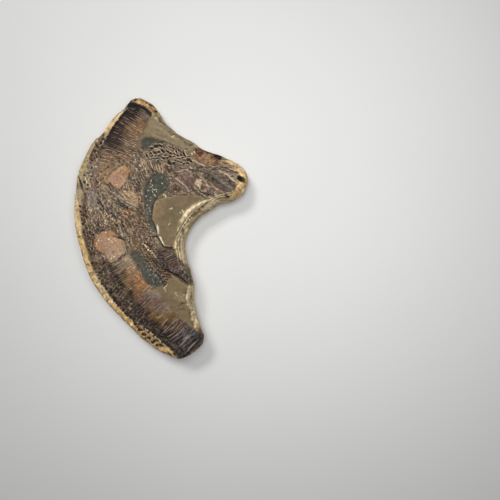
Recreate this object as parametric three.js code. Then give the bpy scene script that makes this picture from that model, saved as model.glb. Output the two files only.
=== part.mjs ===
// Fossil fish plate: one half of a split stone nodule, lying on its back with the split face up.
// A long fish with tall flank scales lies curled on that face. Two runs of its flank follow the
// outer rim, the small scales of its tail and its tail fin cross the middle, the loose plates and
// bones of its head fill the elbow, and a run of long bones goes out along the arm.
// Millimetres, +Z up. The origin is the middle of the flat of the back.

import * as THREE from "three";

// Driving dimensions
const FACE = 30; // height of the split face
const GIRTH = 15; // height at which the nodule is widest
const BACK_INSET = 18; // from the girth in to the flat of the back
const OUTLINE_STEP = 4.2; // spacing of the corners round the girth
const PLAIN_STEP = 4.6; // spacing of the corners on plain stone
const LEAST_STEP = 1.25; // no two corners of the split face lie closer than this
const CHIP = 0.9; // depth of the chips round the girth

// The girth, clockwise from the upper tip: x, y, and the width of the sloping rind inside it
const OUTLINE = [
  [-46, 151, 8], [-36, 160, 6], [-24, 163.5, 6], [-10, 156, 7], [-2, 146, 8], [6, 133, 8],
  [21, 120, 8], [40, 109, 8], [55, 99, 7], [76, 92, 6], [90, 85, 9], [102, 78, 10],
  [109.4, 66, 11], [109, 56, 11], [102, 44, 11], [86, 34, 10], [72, 29, 10], [61, 22, 11],
  [51, 16, 12], [42, 7, 12], [35, -4, 12], [30, -19, 8], [32, -35, 9], [38, -55, 6],
  [42, -75, 5], [41, -87, 6], [46, -109, 8], [50, -124, 5], [54, -136, 4], [51, -147, 4],
  [39, -157, 4], [27, -163, 4], [4, -158, 9], [-20, -143, 12], [-45, -119, 12],
  [-69, -94, 12], [-88, -66, 12], [-101, -31, 12], [-109.4, 8, 12], [-109, 40, 12],
  [-104, 69, 9], [-93, 98, 10], [-83, 112, 8], [-76, 120, 9], [-65, 134, 10], [-57, 142, 9],
];

// A run of tall flank scales lies between its outer and inner edge. The outer and inner edges
// of a scale stand shorter than its middle by the crown.
const UPPER_FLANK = {
  outer: [[-34, 151], [-46, 133], [-57, 121], [-66, 105], [-70, 91]],
  inner: [[-11, 142], [-18, 120], [-24, 106], [-33, 94], [-41, 83]],
  scales: 19,
  rows: 6,
  crown: 2.6,
  ridge: 1.2,
};
const LOWER_FLANK = {
  outer: [[-69, -43], [-50, -73], [-24, -101], [3, -128], [27, -152]],
  inner: [[-37, -33], [-20, -60], [4, -80], [25, -105], [51, -132]],
  scales: 27,
  rows: 8,
  crown: 3,
  ridge: 1.6,
};

// Fields of small six-sided scales, each between two edges. Pits outnumber the bumps two to one.
const BACK_SCALES = {
  outer: [[-82, -34], [-70, -62], [-54, -88], [-32, -110], [-6, -130], [20, -153]],
  inner: [[-71, -40], [-53, -72], [-27, -101], [0, -128], [24, -151]],
  columns: 54,
  rows: 5,
  bump: 1.2,
};
const TAIL_SCALES = {
  outer: [[-50, 8], [-41, -10], [-31, -27], [-19, -39], [-6, -49]],
  inner: [[-21, 18], [-12, 6], [-7, -5], [-3, -16], [2, -24]],
  columns: 26,
  rows: 11,
  bump: 1,
};
const THROAT_SCALES = {
  outer: [[-14, 89], [-7, 98], [3, 103], [16, 100], [28, 97], [39, 88]],
  inner: [[-7, 78], [-2, 84], [6, 85], [15, 83], [26, 81], [37, 79]],
  columns: 21,
  rows: 8,
  bump: 1,
};

// The tail fin: a raised leaf of stone with ribs across it
const TAIL_FIN = {
  edge: [[4, -24], [13, -28], [22, -34], [30, -43], [36, -51], [41, -62], [43, -70],
    [34, -65], [26, -59], [17, -54], [9, -50], [-1, -44], [-6, -39]],
  middle: [18, -46],
  ribPitch: 5.2,
  ribAngle: 0.24,
  height: 2.4,
  ridge: 1.1,
};

// Levels of the split face that differ from the plain stone: edge and height
const LEVELS = {
  stoneShelf: {
    height: 1.9,
    edge: [[-3, 34], [14, 38], [38, 40], [54, 38], [60, 32], [46, 24], [34, 14], [26, 2],
      [22, -12], [22, -25], [13, -24], [5, -21], [0, -12], [-3, 0], [-8, 12], [-7, 24]],
  },
  upperClay: {
    height: -1.4,
    edge: [[-20, 108], [-11, 111], [2, 107], [11, 101], [-8, 97], [-19, 94]],
  },
  heartClay: {
    height: -1.8,
    edge: [[-13, 59], [-8, 66], [2, 67], [11, 63], [14, 55], [9, 46], [-1, 39], [-5, 29],
      [-8, 12], [-2, -1], [-5, -8], [-12, 4], [-17, 20], [-18, 46]],
  },
  lowerClay: {
    height: -1.7,
    edge: [[-31, -32], [-21, -40], [-10, -51], [-1, -55], [6, -62], [7, -70], [-3, -70],
      [-14, -65], [-23, -53], [-30, -42]],
  },
  innerShelf: {
    height: 0.7,
    edge: [[12, -57], [25, -64], [38, -73], [38, -86], [41, -112], [27, -103], [17, -92],
      [10, -82], [5, -74]],
  },
};

// Loose round plates of the head, domed, each in its groove: middle, half sizes and turn
const PLATES = [
  { middle: [-48, 62], half: [16, 9.5], turn: 0.75, dome: 2.2 },
  { middle: [-61, -24], half: [19, 17.5], turn: 0.5, dome: 2.6 },
  { middle: [-37, 25], half: [8, 6.5], turn: 0.3, dome: 2 },
  { middle: [-82, 49], half: [7, 8.5], turn: 0.1, dome: 1.6 },
];
const PLATE_GROOVE = 1.3;

// Long bones and cracks: a line along the crest, half the width, and the height over the face
const BONES = [
  { line: [[68, 83], [82, 76], [95, 70]], half: 2.4, height: 2.2 },
  { line: [[58, 68], [74, 58], [92, 46]], half: 2.6, height: 2.6 },
  { line: [[54, 60], [68, 50], [82, 40]], half: 2.2, height: 1.9 },
  { line: [[70, 72], [82, 66], [96, 55]], half: 2, height: 1.7 },
  { line: [[20, 72], [32, 62], [44, 47]], half: 2.2, height: 1.6 },
  { line: [[44, 90], [54, 95], [68, 90]], half: 2.8, height: 1.8 },
  { line: [[-56, 42], [-40, 33], [-27, 21]], half: 2.2, height: 2 },
  { line: [[-46, 45], [-32, 36], [-20, 26]], half: 2, height: 1.6 },
  { line: [[-62, 33], [-52, 24], [-47, 12]], half: 2.2, height: 1.7 },
  { line: [[-70, 40], [-66, 24], [-60, 8]], half: 2.4, height: 1.8 },
  { line: [[-86, 38], [-83, 18], [-77, 2]], half: 2, height: 1.5 },
  { line: [[-36, 79], [-28, 72], [-20, 61]], half: 2, height: 1.8 },
  { line: [[-29, 85], [-21, 78], [-15, 70]], half: 1.8, height: 1.4 },
  { line: [[-50, 15], [-46, 2], [-38, -12]], half: 1.6, height: 1.6 },
  { line: [[-86, 122], [-80, 104], [-78, 90]], half: 2, height: 1.1 },
  { line: [[0, 122], [14, 112], [28, 104]], half: 2.4, height: 0.9 },
];
const CRACKS = [
  { line: [[-97, 61], [-94, 50], [-91, 42]], half: 1.4, height: -1.6 },
  { line: [[-14, -12], [-2, -12], [5, -22], [18, -26]], half: 1.2, height: -1.6 },
  { line: [[6, -49], [18, -57], [30, -66], [42, -74]], half: 1.4, height: -1.9 },
  { line: [[-6, 103], [6, 105], [18, 101]], half: 1.6, height: -1.7 },
  { line: [[42, 91], [47, 83], [54, 74]], half: 1.3, height: -1.1 },
];
const EYE = { middle: [96, 61], half: [5, 3.8], turn: -0.2, dome: -3.2 };

// The raised lumps of rind over the upper tip: x, y and height
const TIP_LUMPS = [[-24, 151, 2.2], [-14, 151, 1.6], [-31, 154, 1.2]];

// Finer spacings
const EDGE_STEP = 3.2; // along the edge of a raised or sunk area
const EDGE_HALF = 0.9; // from that edge to the corners either side of it
const RIDGE_STEP = 3.4; // along a bone, a crack or a rib
const RING_STEP = 3.6; // round a domed plate

const smooth = (low, high, v) => THREE.MathUtils.smoothstep(v, low, high);
const mix = THREE.MathUtils.lerp;

// A repeatable number from 0 to 1 for each pair of whole numbers
function chance(i, j) {
  const s = Math.sin(i * 127.1 + j * 311.7) * 43758.5453;
  return s - Math.floor(s);
}

// A smooth curve through points given as [x, y] or [x, y, third]
function curveThrough(points, closed = false) {
  const at = points.map(([x, y, third = 0]) => new THREE.Vector3(x, y, third));
  return new THREE.CatmullRomCurve3(at, closed, "centripetal");
}

// The point that lies `inset` in from a corner of a clockwise ring
function insetFrom(ring, i, inset) {
  const before = ring[(i + ring.length - 1) % ring.length];
  const after = ring[(i + 1) % ring.length];
  const along = new THREE.Vector2(after.x - before.x, after.y - before.y).normalize();
  return [ring[i].x + along.y * inset, ring[i].y - along.x * inset];
}

// The girth as evenly spaced corners, chipped a little in and out; z holds the rind's width
function chippedGirth() {
  const curve = curveThrough(OUTLINE, true);
  const count = Math.round(curve.getLength() / OUTLINE_STEP);
  const corners = curve.getSpacedPoints(count).slice(0, count);
  return corners.map((corner, i) => {
    return new THREE.Vector3(...insetFrom(corners, i, chance(i, 1) * CHIP), corner.z);
  });
}

const girth = chippedGirth();

// Distance from a point in to the nearest stretch of the girth, with the rind's width there
function rimAt(x, y) {
  let nearest = Infinity;
  let rind = 0;
  girth.forEach((a, i) => {
    const b = girth[(i + 1) % girth.length];
    const dx = b.x - a.x;
    const dy = b.y - a.y;
    const along = ((x - a.x) * dx + (y - a.y) * dy) / (dx * dx + dy * dy);
    const t = THREE.MathUtils.clamp(along, 0, 1);
    const away = Math.hypot(a.x + dx * t - x, a.y + dy * t - y);
    if (away < nearest) {
      nearest = away;
      rind = mix(a.z, b.z, t);
    }
  });
  return { away: nearest, rind };
}

function isInside(edge, x, y) {
  let inside = false;
  edge.forEach(([ax, ay], i) => {
    const [bx, by] = edge[(i + 1) % edge.length];
    if (ay > y !== by > y && x < ((bx - ax) * (y - ay)) / (by - ay) + ax) inside = !inside;
  });
  return inside;
}

const girthEdge = girth.map(({ x, y }) => [x, y]);

// Signed distance to a closed edge, more than 0 inside
function depthIn(edge, x, y) {
  let nearest = Infinity;
  edge.forEach(([ax, ay], i) => {
    const [bx, by] = edge[(i + 1) % edge.length];
    const along = ((x - ax) * (bx - ax) + (y - ay) * (by - ay)) / ((bx - ax) ** 2 + (by - ay) ** 2);
    const t = THREE.MathUtils.clamp(along, 0, 1);
    nearest = Math.min(nearest, Math.hypot(mix(ax, bx, t) - x, mix(ay, by, t) - y));
  });
  return isInside(edge, x, y) ? nearest : -nearest;
}

// The slow roll of the plain stone
function roll(x, y) {
  return 0.45 * Math.sin(x / 13 + 1) * Math.cos(y / 17) + 0.3 * Math.sin(x / 6.1 + y / 8.3);
}

// Height of a domed plate over the face, 0 outside it
function domeAt({ middle, half, turn, dome }, x, y) {
  const [dx, dy] = [x - middle[0], y - middle[1]];
  const u = (dx * Math.cos(turn) + dy * Math.sin(turn)) / half[0];
  const v = (dy * Math.cos(turn) - dx * Math.sin(turn)) / half[1];
  return dome * Math.sqrt(Math.max(0, 1 - u * u - v * v));
}

// Height of the split face over its plain stone, without its scales and bones
function levelAt(x, y) {
  const steps = Object.values(LEVELS).map(
    ({ edge, height }) => height * smooth(-0.8, 0.8, depthIn(edge, x, y)),
  );
  const domes = PLATES.map((plate) => domeAt(plate, x, y));
  return [...steps, ...domes].reduce((sum, step) => sum + step, roll(x, y));
}

// Height of the top of the stone where the face itself stands at `relief`: full in the middle,
// down over the rind, with one ledge in it, to the girth
function topHeight(x, y, relief) {
  const { away, rind } = rimAt(x, y);
  const share = Math.min(away / rind, 1);
  const ledge = 0.05 * (smooth(0.42, 0.5, share) - smooth(0.3, 0.98, share));
  const drop = (1 - (1 - share) ** 2) ** 0.85 + ledge;
  return GIRTH + (FACE - GIRTH) * drop + relief * smooth(0.55, 1, share);
}

// Height of the underside: a flat back that curves up to the girth
function backHeight(away) {
  const share = Math.min(away / BACK_INSET, 1);
  return GIRTH * (1 - Math.sqrt(1 - (1 - share) ** 2));
}

// Corners of the split face, each kept only if it is well inside and clear of the others
const faceCorners = [];

function addCorner(x, y, relief, clear = LEAST_STEP) {
  if (!isInside(girthEdge, x, y)) return;
  const { away } = rimAt(x, y);
  if (away < OUTLINE_STEP * 0.5) return;
  if (faceCorners.some((c) => Math.hypot(c.x - x, c.y - y) < clear)) return;
  faceCorners.push(new THREE.Vector3(x, y, topHeight(x, y, relief)));
}

// A point between the edges of a band: `along` it and `across` it, both from 0 to 1
function pointInBand(band, along, across) {
  band.outerCurve ??= curveThrough(band.outer);
  band.innerCurve ??= curveThrough(band.inner);
  return band.outerCurve.getPointAt(along).lerp(band.innerCurve.getPointAt(along), across);
}

// Tall flank scales side by side: a sharp groove between each two, a rounded ridge down each
function addFlank(band) {
  for (let i = 0; i <= band.scales * 2; i += 1) {
    const isRidge = i % 2 === 1;
    for (let row = 0; row <= band.rows; row += 1) {
      const across = row / band.rows;
      const p = pointInBand(band, i / (band.scales * 2), across);
      const end = smooth(0, 4, Math.min(i, band.scales * 2 - i) + 1);
      const crown = band.crown * Math.sin(Math.PI * (0.08 + 0.84 * across)) * end;
      const ridge = isRidge ? band.ridge * (0.7 + 0.5 * chance(i, row)) : -0.25;
      addCorner(p.x, p.y, crown + ridge);
    }
  }
}

// Small scales in staggered rows: each third corner is a bump, with six pits round it
function addSmallScales({ columns, rows, bump, ...field }) {
  for (let row = 0; row <= rows; row += 1) {
    const shift = (row % 2) / 2;
    for (let column = 0; column + shift <= columns; column += 1) {
      const isBump = (column + 90 - Math.floor(row / 2) - row) % 3 === 0;
      const p = pointInBand(field, (column + shift) / columns, row / rows);
      const height = isBump ? bump * (0.8 + 0.8 * chance(column, row)) : -0.4 * bump;
      addCorner(p.x, p.y, height + 0.3, 1.5);
    }
  }
}

// Ribs across the tail fin, with a groove between each two
function addTailFin({ edge, middle, ribPitch, ribAngle, height, ridge }) {
  const along = new THREE.Vector2(Math.cos(ribAngle), Math.sin(ribAngle));
  const across = new THREE.Vector2(-along.y, along.x);
  const reach = 12; // lines and steps each way from the middle, enough to cover the fin
  for (let line = -reach; line <= reach; line += 1) {
    for (let step = -reach; step <= reach; step += 1) {
      const p = new THREE.Vector2(...middle);
      p.addScaledVector(across, (line * ribPitch) / 2).addScaledVector(along, step * RIDGE_STEP);
      if (depthIn(edge, p.x, p.y) < EDGE_HALF / 2) continue;
      addCorner(p.x, p.y, height + (line % 2 === 0 ? ridge : -0.3), 1.5);
    }
  }
  addEdge(edge, height);
}

// Corners either side of the edge of a raised or sunk area, so that its step is steep.
// `height` is what the area adds to the levels.
function addEdge(edge, height = 0) {
  const curve = curveThrough(edge, true);
  const count = Math.round(curve.getLength() / EDGE_STEP);
  curve.getSpacedPoints(count).forEach((p, i) => {
    const ahead = curve.getTangentAt((i % count) / count);
    [-EDGE_HALF, EDGE_HALF].forEach((side) => {
      const x = p.x + ahead.y * side;
      const y = p.y - ahead.x * side;
      addCorner(x, y, levelAt(x, y) + (depthIn(edge, x, y) > 0 ? height : 0));
    });
  });
}

// A domed plate in its groove, or with a dome below 0 a round hole
function addPlate({ middle, half, turn, dome }) {
  const rings = [[0, 1], [0.3, 0.95], [0.6, 0.8], [0.85, 0.5], [1, 0], [1.12, -0.6], [1.25, 0]];
  rings.forEach(([size, share]) => {
    const count = size === 0 ? 1 : Math.round((size * (half[0] + half[1]) * Math.PI) / RING_STEP);
    for (let i = 0; i < count; i += 1) {
      const angle = (i / count) * Math.PI * 2 + size;
      const wobble = 1 + 0.06 * Math.sin(angle * 3 + half[0]);
      const u = Math.cos(angle) * half[0] * size * wobble;
      const v = Math.sin(angle) * half[1] * size * wobble;
      const x = middle[0] + u * Math.cos(turn) - v * Math.sin(turn);
      const y = middle[1] + u * Math.sin(turn) + v * Math.cos(turn);
      addCorner(x, y, share < 0 ? share * PLATE_GROOVE * 1.6 : share * dome);
    }
  });
}

// A ridge along a line, or a crack where its height is below 0
function addRidge({ line, half, height }) {
  const curve = curveThrough(line);
  const count = Math.max(2, Math.round(curve.getLength() / RIDGE_STEP));
  for (let i = 0; i <= count; i += 1) {
    const p = curve.getPointAt(i / count);
    const ahead = curve.getTangentAt(i / count);
    const taper = 0.35 + 0.65 * Math.sin(Math.PI * mix(0.1, 0.9, i / count));
    addCorner(p.x, p.y, height * taper);
    [-half, half].forEach((side) => {
      addCorner(p.x + ahead.y * side, p.y - ahead.x * side, -0.2);
    });
  }
}

// Rings of corners down the sloping rind, its lumps a little uneven
function addRind() {
  [0.3, 0.45, 0.72, 1].forEach((share, ring) => {
    girth.forEach((corner, i) => {
      if (ring % 2 === 1 && i % 2 === 1) return;
      const inset = corner.z * share + 1.6 * (chance(i, ring + 3) - 0.5);
      const [x, y] = insetFrom(girth, i, inset);
      addCorner(x, y, 1.4 * (chance(i, ring + 9) - 0.5), 2.2);
    });
  });
}

// Plain stone: a lattice of corners at the level of the face
function addPlainStone() {
  const rowStep = PLAIN_STEP * Math.sqrt(0.75);
  for (let row = -40; row <= 40; row += 1) {
    for (let column = -28; column <= 28; column += 1) {
      const shift = row % 2 === 0 ? 0 : 0.5;
      const x = (column + shift + 0.3 * (chance(row, column) - 0.5)) * PLAIN_STEP;
      const y = (row + 0.3 * (chance(column, row) - 0.5)) * rowStep;
      const grain = 0.7 * (chance(row + 7, column) - 0.5);
      addCorner(x, y, levelAt(x, y) + grain, PLAIN_STEP * 0.72);
    }
  }
}

function fillFace() {
  [...PLATES, EYE].forEach(addPlate);
  addFlank(UPPER_FLANK);
  addFlank(LOWER_FLANK);
  addTailFin(TAIL_FIN);
  [...BONES, ...CRACKS].forEach(addRidge);
  [BACK_SCALES, TAIL_SCALES, THROAT_SCALES].forEach(addSmallScales);
  Object.values(LEVELS).forEach(({ edge }) => addEdge(edge));
  TIP_LUMPS.forEach(([x, y, height]) => addCorner(x, y, height));
  addRind();
  addPlainStone();
}

// Corners of the underside, in rings from the girth in to the flat
function backCorners() {
  const kept = [];
  [0.12, 0.35, 0.65, 1].forEach((share, ring) => {
    girth.forEach((_, i) => {
      if (i % 2 !== ring % 2) return;
      const [x, y] = insetFrom(girth, i, BACK_INSET * share);
      const { away } = rimAt(x, y);
      if (away < BACK_INSET * share * 0.85 || away < OUTLINE_STEP * 0.36) return;
      if (kept.some((c) => Math.hypot(c.x - x, c.y - y) < 2.4)) return;
      kept.push(new THREE.Vector3(x, y, share === 1 ? 0 : backHeight(away)));
    });
  });
  return kept;
}

// Delaunay triangles over corners seen from above, by adding one corner at a time
function triangulate(corners) {
  const far = 5000;
  const all = [
    ...corners,
    new THREE.Vector3(-far, -far, 0),
    new THREE.Vector3(far, -far, 0),
    new THREE.Vector3(0, far, 0),
  ];
  const circled = (a, b, c) => {
    const [p, q, r] = [all[a], all[b], all[c]];
    const d = 2 * (p.x * (q.y - r.y) + q.x * (r.y - p.y) + r.x * (p.y - q.y));
    const [pp, qq, rr] = [p, q, r].map((v) => v.x * v.x + v.y * v.y);
    const x = (pp * (q.y - r.y) + qq * (r.y - p.y) + rr * (p.y - q.y)) / d;
    const y = (pp * (r.x - q.x) + qq * (p.x - r.x) + rr * (q.x - p.x)) / d;
    return { corners: [a, b, c], x, y, radius2: (p.x - x) ** 2 + (p.y - y) ** 2 };
  };
  let triangles = [circled(corners.length, corners.length + 1, corners.length + 2)];
  corners.forEach((corner, index) => {
    const open = new Map();
    triangles = triangles.filter((t) => {
      if ((corner.x - t.x) ** 2 + (corner.y - t.y) ** 2 > t.radius2) return true;
      t.corners.forEach((a, i) => {
        const b = t.corners[(i + 1) % 3];
        if (open.has(`${b},${a}`)) open.delete(`${b},${a}`);
        else open.set(`${a},${b}`, [a, b]);
      });
      return false;
    });
    open.forEach(([a, b]) => triangles.push(circled(a, b, index)));
  });
  return triangles.map((t) => t.corners).filter((t) => t.every((i) => i < corners.length));
}

// The triangles of one side of the stone: those whose middle lies inside the girth
function sideOf(corners) {
  const wobbled = corners.map((c, i) => {
    return new THREE.Vector3(c.x + chance(i, 5) * 1e-4, c.y + chance(i, 6) * 1e-4, c.z);
  });
  return triangulate(wobbled).filter(([a, b, c]) => {
    const x = (corners[a].x + corners[b].x + corners[c].x) / 3;
    const y = (corners[a].y + corners[b].y + corners[c].y) / 3;
    return isInside(girthEdge, x, y);
  });
}

// The whole stone as one closed surface
function plateGeometry() {
  fillFace();
  const back = backCorners();
  const rim = girth.map(({ x, y }) => new THREE.Vector3(x, y, GIRTH));
  const vertices = [...rim, ...faceCorners, ...back];
  const faceTriangles = sideOf([...rim, ...faceCorners]);
  const backShift = faceCorners.length;
  const backTriangles = sideOf([...rim, ...back]).map((t) =>
    t.map((i) => (i < rim.length ? i : i + backShift)).reverse(),
  );
  const geometry = new THREE.BufferGeometry().setFromPoints(vertices);
  geometry.setIndex([...faceTriangles, ...backTriangles].flat());
  geometry.computeVertexNormals();
  return geometry;
}

const stone = new THREE.MeshStandardMaterial({
  name: "brown fossil stone",
  color: 0x7d6248,
  roughness: 0.85,
  metalness: 0,
  flatShading: true,
});

const plate = new THREE.Mesh(plateGeometry(), stone);
plate.name = "fossil_plate";

const fossilFishPlate = new THREE.Group();
fossilFishPlate.add(plate);

export default fossilFishPlate;
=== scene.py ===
"""Fossil fish plate: one half of a split stone nodule, on its back, the split face up.

Everything is laid out in millimetres on the plan of the face (x to the right, y up the page) and
made in metres. The stone is one closed skin. The scales, rays, splinters and chips that lie on it
are placed by one Geometry Nodes tree, which lets each of them down on the stone and wears it.
"""

import math

import bpy
import numpy as np
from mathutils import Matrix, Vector
from mathutils.geometry import delaunay_2d_cdt


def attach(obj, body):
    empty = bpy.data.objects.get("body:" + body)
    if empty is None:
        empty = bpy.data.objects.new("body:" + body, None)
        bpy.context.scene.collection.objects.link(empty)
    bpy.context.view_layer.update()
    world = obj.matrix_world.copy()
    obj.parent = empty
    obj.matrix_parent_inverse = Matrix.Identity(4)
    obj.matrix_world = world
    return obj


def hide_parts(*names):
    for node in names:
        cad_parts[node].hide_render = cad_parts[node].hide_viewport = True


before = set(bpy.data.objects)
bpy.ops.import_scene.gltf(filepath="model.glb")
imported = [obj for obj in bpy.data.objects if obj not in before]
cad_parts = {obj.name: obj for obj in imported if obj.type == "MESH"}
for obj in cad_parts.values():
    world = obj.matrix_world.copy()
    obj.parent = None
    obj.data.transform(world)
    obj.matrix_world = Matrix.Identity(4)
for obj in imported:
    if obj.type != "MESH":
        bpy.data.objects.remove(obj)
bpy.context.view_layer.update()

MM = 0.001

# Places are read on a plan of the face ruled in squares, counted across and down from its corner
SQUARE = 1.22  # size of a square, in mm
HALF_PLAN = 250  # squares from the corner of the plan to its middle
MIDDLE = (111.35, -26.8)  # where the middle of the plan lies, in mm


def plan(text, step=0.5):
    """Points to the nearest `step` of a mm, from squares across and down: "x y, x y, ..."."""
    points = []
    for place in text.split(","):
        across, down = (float(v) for v in place.split())
        x = (across - HALF_PLAN) * SQUARE + MIDDLE[0]
        y = (HALF_PLAN - down) * SQUARE + MIDDLE[1]
        points.append((round(x / step) * step, round(y / step) * step))
    return points


def table(text, step=0.5):
    """Rows of tone, numbers and points, from text: "tone number number: x y,x y,...;"."""
    rows = []
    for row in text.split(";")[:-1]:
        head, places = row.split(":")
        words = head.split()
        name = " ".join(word for word in words if word.isalpha())
        numbers = [float(word) for word in words if not word.isalpha()]
        rows.append((name, *numbers, plan(places, step)))
    return rows


# ---------------------------------------------------------------- the stone's own sizes, in mm
FACE = 30  # height of the split face
GIRTH = 15  # height at which the nodule is widest
BACK_INSET = 18  # from the girth in to the flat of the back
CHIP = 0.9  # depth of the chips round the girth
RIM_STEP = 1.15  # spacing of the corners round the girth
FINE_STEP = 0.66  # spacing of the corners on scales and bones
FINE_BEYOND = 2.0  # how far round scales and bones that spacing goes on
PLAIN_STEP = 1.0  # spacing of the corners on plain stone
BACK_STEP = 4.0  # spacing of the corners on the flat of the back

# The girth, clockwise from the upper tip: x, y, and the width of the sloping rind inside it
OUTLINE = [
    (-46, 151, 8), (-36, 159.7, 6), (-24, 162.8, 6), (-10, 156, 7), (-2, 146, 8), (6, 133, 8),
    (21, 120, 8), (40, 109, 8), (55, 99, 7), (76, 92, 6), (90, 85, 9), (102, 78, 10),
    (109.4, 66, 11), (109, 56, 11), (104, 43.5, 11), (89, 34, 10), (73, 30, 10), (61, 22, 11),
    (51, 16, 12), (42, 7, 12), (35, -4, 12), (30, -19, 8), (32, -35, 9), (38, -55, 6),
    (42, -75, 5), (41, -87, 6), (46, -109, 8), (50, -124, 5), (54, -136, 4), (51, -147, 4),
    (39, -157, 4), (27, -163, 4), (4, -158, 9), (-20, -143, 12), (-45, -119, 12),
    (-69, -94, 12), (-88, -66, 12), (-101, -31, 12), (-109.4, 8, 12), (-109, 40, 12),
    (-104, 69, 9), (-92.3, 97.5, 10), (-82, 111.5, 8), (-73.8, 119, 9), (-64.5, 133.5, 10),
    (-57, 142, 9),
]

# Two runs of flank scales. Corner by corner, outer and inner edge are the two ends of one rung.
# A column is the part of a rung and the part of the run that it takes up, and its scales' width.
# The tones of the scales go with the part of the run up to which they hold; "" is the stone's own.
# The flank swells by its crown in the middle, and its edges lie lower than plain stone by its fall.
# Its ground is how dark the stone between its scales is painted, as painted shade between them.
UPPER_FLANK = {
    "outer": plan("132.5 103.5, 125 111, 119 118, 112.5 127, 107 137, 102 148, 98 157"),
    "inner": plan("150.5 113.5, 146.5 124, 142 133, 138 142, 134 150, 129 158, 124 164"),
    "columns": [(0.1, 0.5, 0, 1, 1.1), (0.42, 0.84, 0, 1, 1.2), (0.8, 1.04, 0.2, 0.95, 1.2)],
    "pitch": 2.6,
    "crown": 2.6,
    "fall": 0.7,
    "ground": 0.34,
    "streaks": 0.5,
    "dark_end": 0,
    "tones": [(1.1, ("", "tan", "", "lavender", "mauve", "ash", "grey bone", "umber"))],
    "fading": 1,
}
LOWER_FLANK = {
    "outer": plan("106 265, 113 276, 121 287, 130 298, 139 309, 148 321, 158 332.5, 167 343, "
        "176 351, 184.5 357"),
    "inner": plan("129 254, 135 262, 140 272, 145.5 282, 157 290, 166 301, 175 313, 185 322.5, "
        "195 329.5, 204 337"),
    "columns": [(0.0, 0.36, 0, 1, 0.9), (0.3, 0.68, 0, 1, 0.9), (0.64, 1.04, 0, 1, 1.0)],
    "pitch": 1.9,
    "crown": 3.0,
    "fall": 0.8,
    "ground": 0.55,
    "streaks": 0.28,
    "dark_end": 0.3,
    "tones": [
        (0.8, ("", "tan", "", "ash", "bone", "", "")),
        (1.1, ("ash", "lavender", "", "soot", "slate", "bone", "lavender")),
    ],
}

# Fields of small scales, each between two edges given corner by corner. The stone under a field
# with a lift stands that much higher.
BACK_FIELD = {
    "outer": plan("92 263, 95.5 270, 99.5 277.5, 105 287.5, 112 297.5, 119.5 307, 128.5 315.5, "
        "139 322.5, 150 330, 162 339, 172 347, 180 355"),
    "inner": plan("105 262, 108.5 269, 113 276, 121 287, 130 298, 139 309, 148 321, 158 332, "
        "167 343, 175 350, 179 354, 183 356"),
    "lift": -0.5,
}
MARGIN_FIELD = {
    "outer": plan("80.5 206, 81.5 218, 84.5 232, 88 245, 92 256"),
    "inner": plan("85.5 205, 86.5 217, 89.5 231, 93.5 243, 98 254"),
}
SHOULDER_FIELD = {
    "outer": plan("103 134, 98 141, 93 150, 89 160"),
    "inner": plan("108 136, 104 143, 99 152, 95 162"),
}
TAIL_FIELD = {
    "outer": plan("139 245, 145 257, 152 268, 160 277, 164 287"),
    "inner": plan("147 241, 155 248, 162 257, 168 267, 171 278"),
    "lift": 0.3,
}
LUMP_FIELD = {
    "outer": plan("119 218, 124 230, 130 241, 137 250"),
    "inner": plan("135 212, 143 221, 148 231, 151 241"),
}
THROAT_FIELD = {
    "outer": plan("145 157, 148 148, 156 142.5, 166 142.5, 176 145.5, 185 150, 192 157"),
    "inner": plan("151 161, 157 161, 162 162, 168 163, 175 165, 183 166, 191 166"),
    "lift": 0.2,
}

# What shows between the small scales, one coat after the other: field, tone, strength
FIELD_COATS = [
    (BACK_FIELD, "grey bone", 0.75),
    (BACK_FIELD, "umber", 0.3),
    (SHOULDER_FIELD, "umber", 0.8),
    (TAIL_FIELD, "brown", 0.75),
    (THROAT_FIELD, "grey bone", 0.5),
    (THROAT_FIELD, "umber", 0.5),
    (LUMP_FIELD, "umber", 0.5),
]
SCALY = (UPPER_FLANK, LOWER_FLANK, BACK_FIELD, TAIL_FIELD)

# Dark dashes of enamel among the throat scales: tone, width, height, and the two ends of each
THROAT_SCALES = table("""
black 2.6 1: 154.5 146,157.5 146,168.5 162,170 164,187.5 159,190 161;
black 1.9 1: 159 145.2,161 146,150.5 148,152 148,153.5 152.2,156 153,158 152.4,160.5 151.5,
 161 149.5,164 152.4,162.5 158,164 158.5,172.5 163.4,174.5 163.4,190.2 160.5,192 163;
black 1.5 1: 166.5 151,168.5 152.4,169.5 152.5,172 154,173.5 153.5,176 154.5,176 150.5,177 153.5,
 176.8 155,179 156.5,180.5 154,182.5 157.5,183 151.5,185.5 156.7,186 163,190.5 164,146.5 154.3,
 147.5 156.8;
black 1.2 1: 172.5 148,174.5 149.5,177.5 149,179.5 151,172.5 157,174.9 156.6,169.5 156.5,
 171.5 156.7,177 158.5,179.5 158.7,180 158.5,183.5 157.5,177 161.2,178.5 161.5,179.5 162,182.5 163,
 183 164,184.5 163.4;
black 1.2 1: 154.2 156.9,156.2 155.5,151.5 156.8,153 155.5,150 152.4,151.9 154,158.5 156,
 160.5 154.5,156 158.5,158 158.5,157 161.3,158.5 160.5,164.5 156,166 155,188 156.9,189.5 156.5,
 161.5 160.5,163 160,149 151,150.5 150,153.5 158.8,154.5 158;
black 1 1: 169 147,170.5 147.5,165.5 146.5,167 147.5,185.5 149,187 149.5,163.5 147,165 147.5,
 166 158,167.8 157.5,174.8 160.5,176.5 160.5,183.5 160,185.5 160,151 159.5,152 158.7,148.5 158,
 149.5 159,180.5 151,181.3 152.4;
""")

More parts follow.
